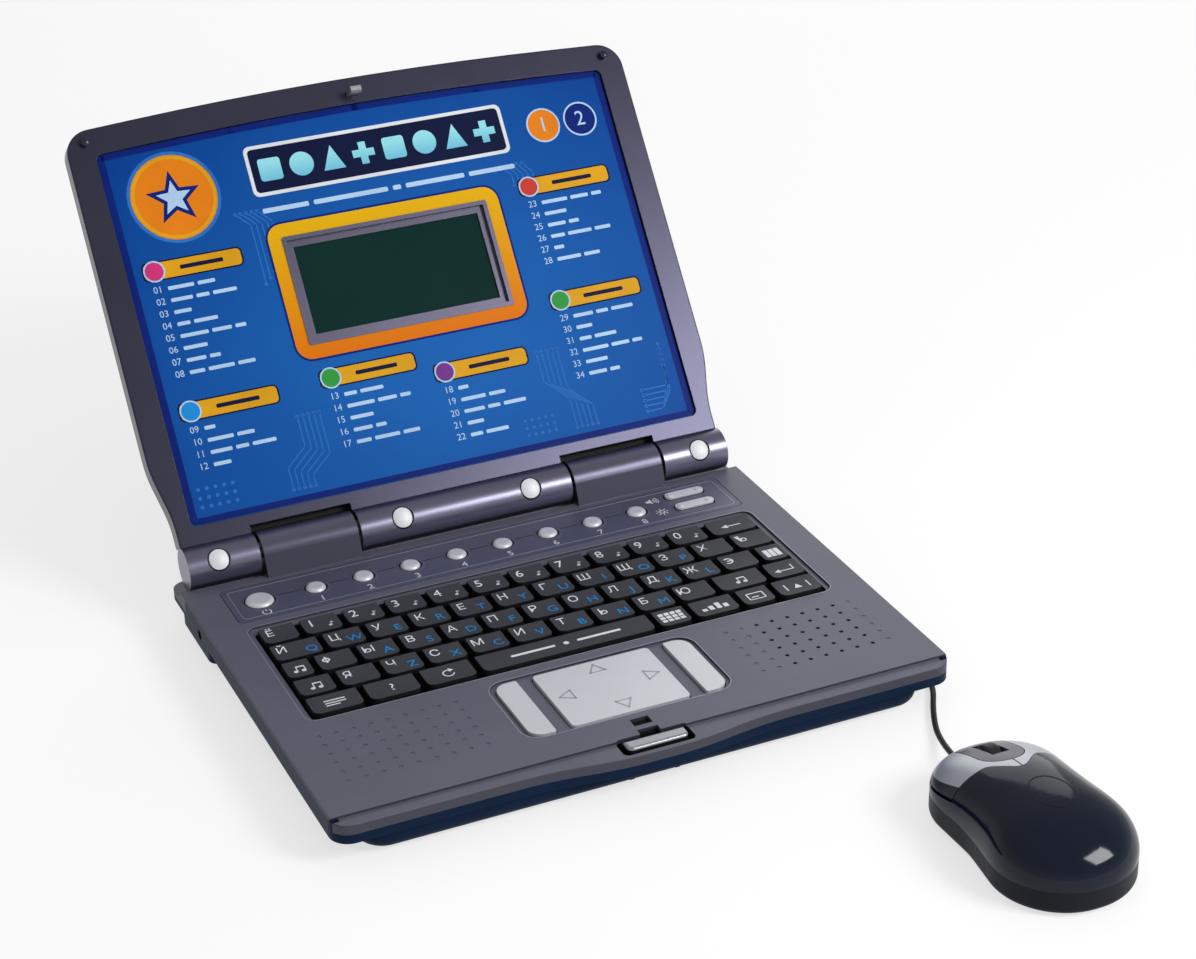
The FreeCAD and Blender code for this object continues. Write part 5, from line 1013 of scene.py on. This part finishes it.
@dataclass
class Keyboard:
    """Key rows with their legends; sizes follow the key layout of the part."""

    well_width: float = 234.4
    well_front: float = FRONT + 75.19
    well_depth: float = 76.6
    key_gap: float = 1.5
    top: float = DECK + 1.3
    dish: float = 0.35
    unit_keys: float = 12.21
    home_keys: float = 12.53
    inks: tuple[Legend, ...] = (
        Legend("white", Finish.INK_WHITE, -1, 4.7, 1.8, 4.6),
        Legend("blue", Finish.INK_BLUE, 1, 4.9, 1.6, 4.7),
    )
    digit_size: float = 5.2
    tone_inset: float = 5.0

    def rows(self) -> dict[str, list[float]]:
        """Cell widths of each row from left to right."""
        unit, home = self.well_width / self.unit_keys, self.well_width / self.home_keys
        rows = {
            "number": [0.95 * unit] + [unit] * 10,
            "top": [1.21 * unit] + [unit] * 10,
            "home": [0.74 * unit] + [home] * 11,
            "bottom": [0.95 * unit] + [unit] * 9 + [1.29 * unit],
            "command": [1.28 * unit] * 3 + [4.22 * unit, 0.9 * unit, 1.18 * unit, 0.9 * unit],
        }
        for cells in rows.values():
            cells.append(self.well_width - sum(cells))
        return rows

    def build(self) -> None:
        """Dresses every key row and prints its legends."""
        pitch = self.well_depth / 5
        for index, (name, cells) in enumerate(self.rows().items()):
            y = self.well_front + self.well_depth - pitch * (index + 0.5)
            left = -self.well_width / 2
            spots = []
            for cell in cells:
                spots.append((left + cell / 2, cell - self.key_gap))
                left += cell
            dress(Finish.KEY, f"{name}_row_keys")
            self.legends(name, spots, y, pitch)
            if name == "number":
                self.notes(spots[1:-1], y, pitch)
            if name == "command":
                self.space_marks(spots[3], y)
        dress(Finish.KEY, "space_bar")

    def notes(self, spots: list[Point], y: float, pitch: float) -> None:
        """Prints a small note at the right of each number."""
        plane, lift = level_plane(self.top), self.surface(y, pitch)
        ink = Stencil("number_notes", plane, Finish.INK_GREY, "number_row_keys", "key_black", PRINT, lift)
        for x, width in spots:
            ink.draw(Sign.TONE.value, x + width / 2 - self.tone_inset, y)
        ink.finish_piece()

    def space_marks(self, spot: Point, y: float) -> None:
        """Prints a dot between two plain bars on the space bar."""
        plane = level_plane(self.top)
        ink = Stencil("space_marks", plane, Finish.INK_WHITE, "space_bar", "key_black", PRINT)
        ink.draw(Sign.SPACE.value, spot[0], y).finish_piece()

    def surface(self, y: float, pitch: float) -> Callable[[float, float], float]:
        """Height of a dished row's top below its rim.

        Args:
            y: Middle of the row.
            pitch: Row pitch.

        Returns:
            A function of a place that gives the drop.
        """
        chord = pitch - self.key_gap / 2 - self.key_gap
        radius = chord * chord / (8 * self.dish)

        def drop(_x: float, place: float) -> float:
            """Drop at one place."""
            reach = min(abs(place - y), chord / 2)
            return radius - self.dish - math.sqrt(radius * radius - reach * reach)

        return drop

    def legends(self, name: str, spots: list[Point], y: float, pitch: float) -> None:
        """Prints one row: white marks at the back left and blue ones at the front right."""
        body, plane, lift = f"{name}_row_keys", level_plane(self.top), self.surface(y, pitch)
        for legend, marks in zip(self.inks, LEGENDS[name]):
            if not any(marks):
                continue
            piece = f"{name}_{legend.colour}_legends"
            ink = Stencil(piece, plane, legend.finish, body, "key_black", PRINT, lift)
            for (x, width), mark in zip(spots, marks):
                if isinstance(mark, Sign):
                    ink.draw(mark.value, x, y)
                elif mark:
                    tall = self.digit_size if mark.isdigit() else legend.tall
                    place = x + legend.hand * (width / 2 - legend.side)
                    self.letter(ink, mark, place, y - legend.hand * legend.off, tall)
            ink.finish_piece()

    @staticmethod
    def letter(ink: Stencil, mark: str, x: float, y: float, tall: float) -> None:
        """Prints one character; the two round ones that need it are drawn from arcs and bars."""
        line = tall * 0.15
        if mark == "Ф":
            ink.ring(x, y, tall * 0.3, line, tall=0.92)
            ink.bar(x, y, line, tall * 1.05)
        elif mark == "Э":
            ink.ring(x - tall * 0.08, y, tall * 0.43, line, 260, -130)
            ink.bar(x + tall * 0.06, y, tall * 0.5, line)
        else:
            ink.text(x, y, tall, mark)


def cross(reach: float, half: float) -> list[Point]:
    """Corners of an upright cross, from its reach and half the width of its arms."""
    spots = []
    for x, y in ((1, 0), (0, 1), (-1, 0), (0, -1)):
        for out, over in ((reach, -half), (reach, half), (half, half)):
            spots.append((out * x - over * y, out * y + over * x))
    return spots


def star(outer: float, inner: float) -> list[Point]:
    """Corners of a five-pointed star."""
    return [polar(inner if step % 2 else outer, 90 + step * 36) for step in range(10)]


# Piece, ink, layer and marks of the screen print, in millimetres across and up from the hinge axis
PRINTS: tuple[tuple[str, Finish, int, tuple[Mark, ...]], ...] = (
    ("print_border", Finish.INK_DEEP, 0, (
        ("bar", -121.2, 103.5, 3.4, 171.0),
        ("bar", 121.2, 103.5, 3.4, 171.0),
        ("bar", 0, 19.2, 239.0, 2.8),
        ("path", 0, 0, ((-119.5, 188.4), (-60, 190.9), (0, 191.9), (60, 190.9), (119.5, 188.4)), 3.0),
    )),
    ("display_band_edge", Finish.INK_DEEP, 1, (("outline", 0, 112.0, 114.5, 66.0, 8.0, 2.0),)),
    ("display_band", Finish.INK_AMBER, 2, (("outline", 0, 112.0, 112.5, 64.0, 7.0, 6.4),)),
    ("header_edge", Finish.INK_WHITE, 1, (("bar", 6, 170, 126, 24, 3.0),)),
    ("header_field", Finish.INK_NIGHT, 2, (("bar", 6, 170, 122.6, 20.6, 2.0),)),
    ("header_blocks", Finish.INK_CYAN, 3, (
        *(("bar", x, 170, 10.6, 10.6, 1.4) for x in (-46.5, 13.5)),
        *(("disc", x, 170, 5.7) for x in (-31.5, 28.5)),
        *(("patch", x, 170, ((-5.3, -5.3), (5.3, -5.3), (0, 6.3))) for x in (-16.5, 43.5)),
        *(("patch", x, 170, cross(5.3, 5.3 / 3)) for x in (-1.5, 58.5)),
    )),
    ("header_line", Finish.INK_PALE, 1, tuple(
        ("bar", x, 151.2, long, 2.2, 0.7)
        for x, long in ((-44.0, 22), (-12.6, 36), (9.8, 4), (28.7, 29), (57.1, 23))
    )),
    ("badge_rim", Finish.INK_SKY, 1, (("ring", -93, 165, 20.6, 1.6),)),
    ("badge_disc", Finish.INK_ORANGE, 1, (("disc", -93, 165, 19.8, 48), ("disc", 88, 168, 8.4))),
    ("badge_ring", Finish.INK_YELLOW, 2, (("ring", -93, 165, 18.6, 1.6),)),
    ("badge_star", Finish.INK_DEEP, 2, (
        ("patch", -93, 164.5, star(13.0, 5.6)), ("disc", 107, 168, 8.4),
    )),
    ("badge_core", Finish.INK_PALE, 3, (
        ("patch", -93, 164.5, star(8.4, 3.6)),
        ("ring", 88, 168, 8.0, 0.8), ("text", 88, 168, 7.0, "1"),
        ("ring", 107, 168, 8.0, 0.8), ("text", 107, 168, 7.0, "2"),
    )),
)
# Left end, height, rows and disc colour of each list in the screen print
LISTS: tuple[tuple[float, float, int, Finish], ...] = (
    (-115, 133, 8, Finish.INK_PINK),
    (-115, 68, 4, Finish.INK_BLUE),
    (-49, 70, 5, Finish.INK_GREEN),
    (4, 62, 5, Finish.INK_VIOLET),
    (68, 140, 6, Finish.INK_RED),
    (68, 84, 6, Finish.INK_GREEN),
)


@dataclass
class Lid:
    """Folding lid with the printed surround of its small display."""

    overlay_front: float = 1.4
    barrel_radius: float = 9.6
    barrel_room: float = 0.3
    knuckle_middle: float = 74.5
    flap_width: float = 56.0
    flap_low: float = 5.4
    flap_high: float = 10.8
    flap_step: float = 0.1
    cap_places: tuple[float, ...] = (-116.5, -31.0, 31.0, 116.5)
    cap_line: Point = (4.85, 0.6)
    pill_size: Place = (45.0, 7.6, 2.0)
    pill_edge: Place = (46.6, 9.0, 2.6)
    pill_bar: Place = (20.0, 1.9, 0.6)
    bar_shift: float = 4.0
    list_disc: float = 4.6
    disc_rim: float = 0.7
    list_start: float = 8.6
    row_pitch: float = 5.6
    number_inset: float = 4.2
    number_size: float = 3.0
    word_inset: float = 8.8
    word_height: float = 1.7
    word_gap: float = 1.7
    trace_count: int = 5
    trace_pitch: float = 2.6
    trace_width: float = 0.6
    dot_radius: float = 0.9

    def ink(self, name: str, finish: Finish, layer: int = 0) -> Stencil:
        """A stencil on the screen print; later layers lie over earlier ones."""
        plane = lid_plane(self.overlay_front + PRINT * layer)
        return Stencil(name, plane, finish, "lid", "overlay_blue", PRINT)

    def build(self) -> None:
        """Dresses the nodes and prints the surround."""
        dress(Finish.BEZEL, "lid_bezel", "lid_back_shell", "lid_bumpers")
        dress(Finish.SCREEN, "screen_overlay")
        dress(Finish.FRAME, "lcd_frame")
        dress(Finish.PANE, "lcd_window")
        dress(Finish.BLACK, "lcd_panel")
        dress(Finish.LATCH, "latch_hook")
        dress(Finish.CAP, "hinge_caps")
        self.barrels()
        self.shaded_inner_faces()
        self.knuckle_flaps()
        self.cap_gap_shades()
        for name, finish, layer, marks in PRINTS:
            self.ink(name, finish, layer).draw(marks).finish_piece()
        self.lists()
        self.tracery()

    def barrels(self) -> None:
        """Gives the hinge barrels of the bezel a lighter copy of its paint, as painted highlight, with a
        softer sheen than its flat faces.
        """
        reach = (self.barrel_radius + self.barrel_room) * MM
        y, z = AXIS_Y * MM, AXIS_Z * MM
        two_tone(
            "lid_bezel", Finish.LIT_BARREL,
            lambda face: math.hypot(face.center.y - y, face.center.z - z) < reach,
        )

    @staticmethod
    def shaded_inner_faces() -> None:
        """Paints the inside of the back shell, seen past the hinge knuckles, black as painted shade."""
        ahead = lid_plane().to_3x3() @ Vector((0, 0, 1))
        two_tone("lid_back_shell", Finish.BLACK, lambda face: face.normal.dot(ahead) > 0.5)

    def knuckle_flaps(self) -> None:
        """Closes the lid's back behind the hinge knuckles, clear of them at every angle."""
        plane = lid_plane(self.flap_step - self.barrel_radius)
        flaps = Stencil("knuckle_flaps", plane, Finish.BEZEL, "lid", "bezel_grey", thickness=0.6)
        middle = (self.flap_low + self.flap_high) / 2
        for x in (-self.knuckle_middle, self.knuckle_middle):
            flaps.bar(x, middle, self.flap_width, self.flap_high - self.flap_low)
        flaps.finish_piece()

    def cap_gap_shades(self) -> None:
        """Black ring of painted shade for the gap about each bright cap, lying round the hinge barrels."""
        reach = self.barrel_radius

        def curve(_x: float, y: float) -> float:
            """Fall of the barrel's surface beside its crest."""
            return math.sqrt(reach * reach - y * y) - reach

        gaps = Stencil("cap_gap_shades", lid_plane(reach), Finish.BLACK, "lid", "bezel_grey", lift=curve)
        for x in self.cap_places:
            gaps.ring(x, 0, *self.cap_line)
        gaps.finish_piece()

    def lists(self) -> None:
        """Yellow headings with coloured discs, over numbered rows of plain bars."""
        pills = self.ink("list_headings", Finish.INK_YELLOW, 2)
        shades = self.ink("list_heading_edges", Finish.INK_NIGHT, 1)
        bars = self.ink("list_heading_bars", Finish.INK_NIGHT, 3)
        rows = self.ink("list_rows", Finish.INK_PALE, 1)
        rims = self.ink("list_disc_rims", Finish.INK_PALE, 4)
        discs: dict[Finish, Stencil] = {}
        radius = self.list_disc
        number = 1
        for x, y, count, finish in LISTS:
            middle = x + self.pill_size[0] / 2
            shades.bar(middle, y, *self.pill_edge)
            pills.bar(middle, y, *self.pill_size)
            bars.bar(middle + self.bar_shift, y, *self.pill_bar)
            if finish not in discs:
                discs[finish] = self.ink(f"list_disc_{finish.name.lower()}", finish, 3)
            discs[finish].disc(x + radius, y, radius)
            rims.ring(x + radius, y, radius, self.disc_rim)
            for row in range(count):
                self.list_row(rows, number, x, y - self.list_start - row * self.row_pitch)
                number += 1
        for stencil in (pills, shades, bars, rows, *discs.values(), rims):
            stencil.finish_piece()

    def list_row(self, ink: Stencil, number: int, x: float, y: float) -> None:
        """Prints a number and one to three plain bars, whose lengths follow the number."""
        ink.text(x + self.number_inset, y, self.number_size, f"{number:02d}")
        start = x + self.word_inset
        for word in range(1 + number % 3):
            long = 5.0 + (number * 7 + word * 5) % 9
            ink.bar(start + long / 2, y, long, self.word_height, 0.5)
            start += long + self.word_gap

    def tracery(self) -> None:
        """Faint steps of lighter lines in the corners of the print."""
        lines = self.ink("print_tracery", Finish.INK_SKY)
        for step in range(self.trace_count):
            off = step * self.trace_pitch
            half = off / 2
            runs = (
                [(-74 + off, 24), (-74 + off, 34 - half), (-64 + off, 42 - half), (-64 + off, 56)],
                [(64 + off, 24), (64 + off, 38 - half), (54 + off, 48 - half), (54 + off, 62)],
                [(62 + off, 152), (66 + off, 147), (66 + off, 142)],
                [(-68 + off, 152), (-62 + off, 146), (-62 + off, 118 + off)],
                [(100, 24 + off), (108 + half, 24 + off), (114, 32 + off), (114, 44 + off)],
            )
            for run in runs:
                lines.path(0, 0, run, self.trace_width)
                for x, y in (run[0], run[-1]):
                    lines.disc(x, y, self.dot_radius, 10)
        for column in range(5):
            for row in range(3):
                lines.disc(-116 + column * 4, 25 + row * 4, self.dot_radius, 10)
                lines.disc(40 + column * 3.4, 25 + row * 3.4, 0.8, 10)
        lines.finish_piece()


@dataclass
class Mouse:
    """Mouse with two buttons and a wheel."""

    oval_middle: Point = (108.5, -221.1)
    oval_line: Point = (8.2, 0.5)
    oval_tall: float = 1.25
    look_down: float = 100.0

    def build(self) -> None:
        """Dresses the nodes and adds the oval on the palm."""
        dress(Finish.MOUSE_LOW, "mouse_base")
        dress(Finish.MOUSE, "mouse_palm_shell")
        dress(Finish.MOUSE_SILVER, "mouse_left_button", "mouse_right_button")
        dress(Finish.RUBBER, "mouse_wheel", "mouse_strain_relief")
        dress(Finish.MOUSE_INLAY, "mouse_inlay")
        dress(Finish.SKATE, "mouse_skates")
        dress(Finish.LENS, "mouse_lens")
        dress(Finish.BOARD, "mouse_board")
        self.palm_oval()

    def palm_oval(self) -> None:
        """A plain oval line that lies on the dome."""
        dome = BVHTree.FromObject(NODES["mouse_palm_shell"], bpy.context.evaluated_depsgraph_get())

        def height(x: float, y: float) -> float:
            """Height of the dome at a place."""
            above = Vector((x * MM, y * MM, self.look_down * MM))
            return dome.ray_cast(above, Vector((0, 0, -1)))[0].z / MM

        plane = level_plane(0)
        oval = Stencil("palm_oval", plane, Finish.MOUSE_LOW, "base", "mouse_navy", 0.12, height)
        oval.ring(*self.oval_middle, *self.oval_line, tall=self.oval_tall).finish_piece()


@dataclass
class MouseCord:
    """Limp round cord from the base's right side to the mouse."""

    diameter: float = 2.5
    length: float = 0.236
    route: tuple[Place, ...] = (
        (127.0, 65.95, 6.0),
        (141.5, 64.5, 2.6),
        (140.5, 30.0, 1.3),
        (138.8, -16.0, 1.3),
        (139.4, -58.0, 1.3),
        (135.6, -92.0, 1.3),
        (121.4, -115.0, 1.3),
        (113.2, -134.0, 2.2),
        (108.5, -152.8, 7.0),
    )

    def build(self) -> None:
        """Lays the cord as one smooth line through its route's points."""
        curve = bpy.data.curves.new("mouse_cord_line", "CURVE")
        curve.dimensions = "3D"
        curve.bevel_depth = self.diameter / 2 * MM
        curve.bevel_resolution = 4
        curve.use_fill_caps = True
        line = curve.splines.new("NURBS")
        line.points.add(len(self.route) - 1)
        for point, place in zip(line.points, self.route):
            point.co = (*(value * MM for value in place), 1.0)
        line.order_u = 3
        line.use_endpoint_u = True
        line.resolution_u = 12
        curve.materials.append(Finish.RUBBER.material())
        cord = bpy.data.objects.new("mouse_cord_line", curve)
        bpy.context.scene.collection.objects.link(cord)
        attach(cord, "base")
        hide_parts("mouse_cord")
        LOG.info("cord laid")


def main() -> None:
    """Builds the studio and every sub-assembly."""
    logging.basicConfig(level=logging.INFO)
    for assembly in (Studio(), MouseCord(), Base(), Keyboard(), Lid(), Mouse()):
        LOG.info("building %s", type(assembly).__name__)
        assembly.build()


if __name__ == "__main__":
    main()
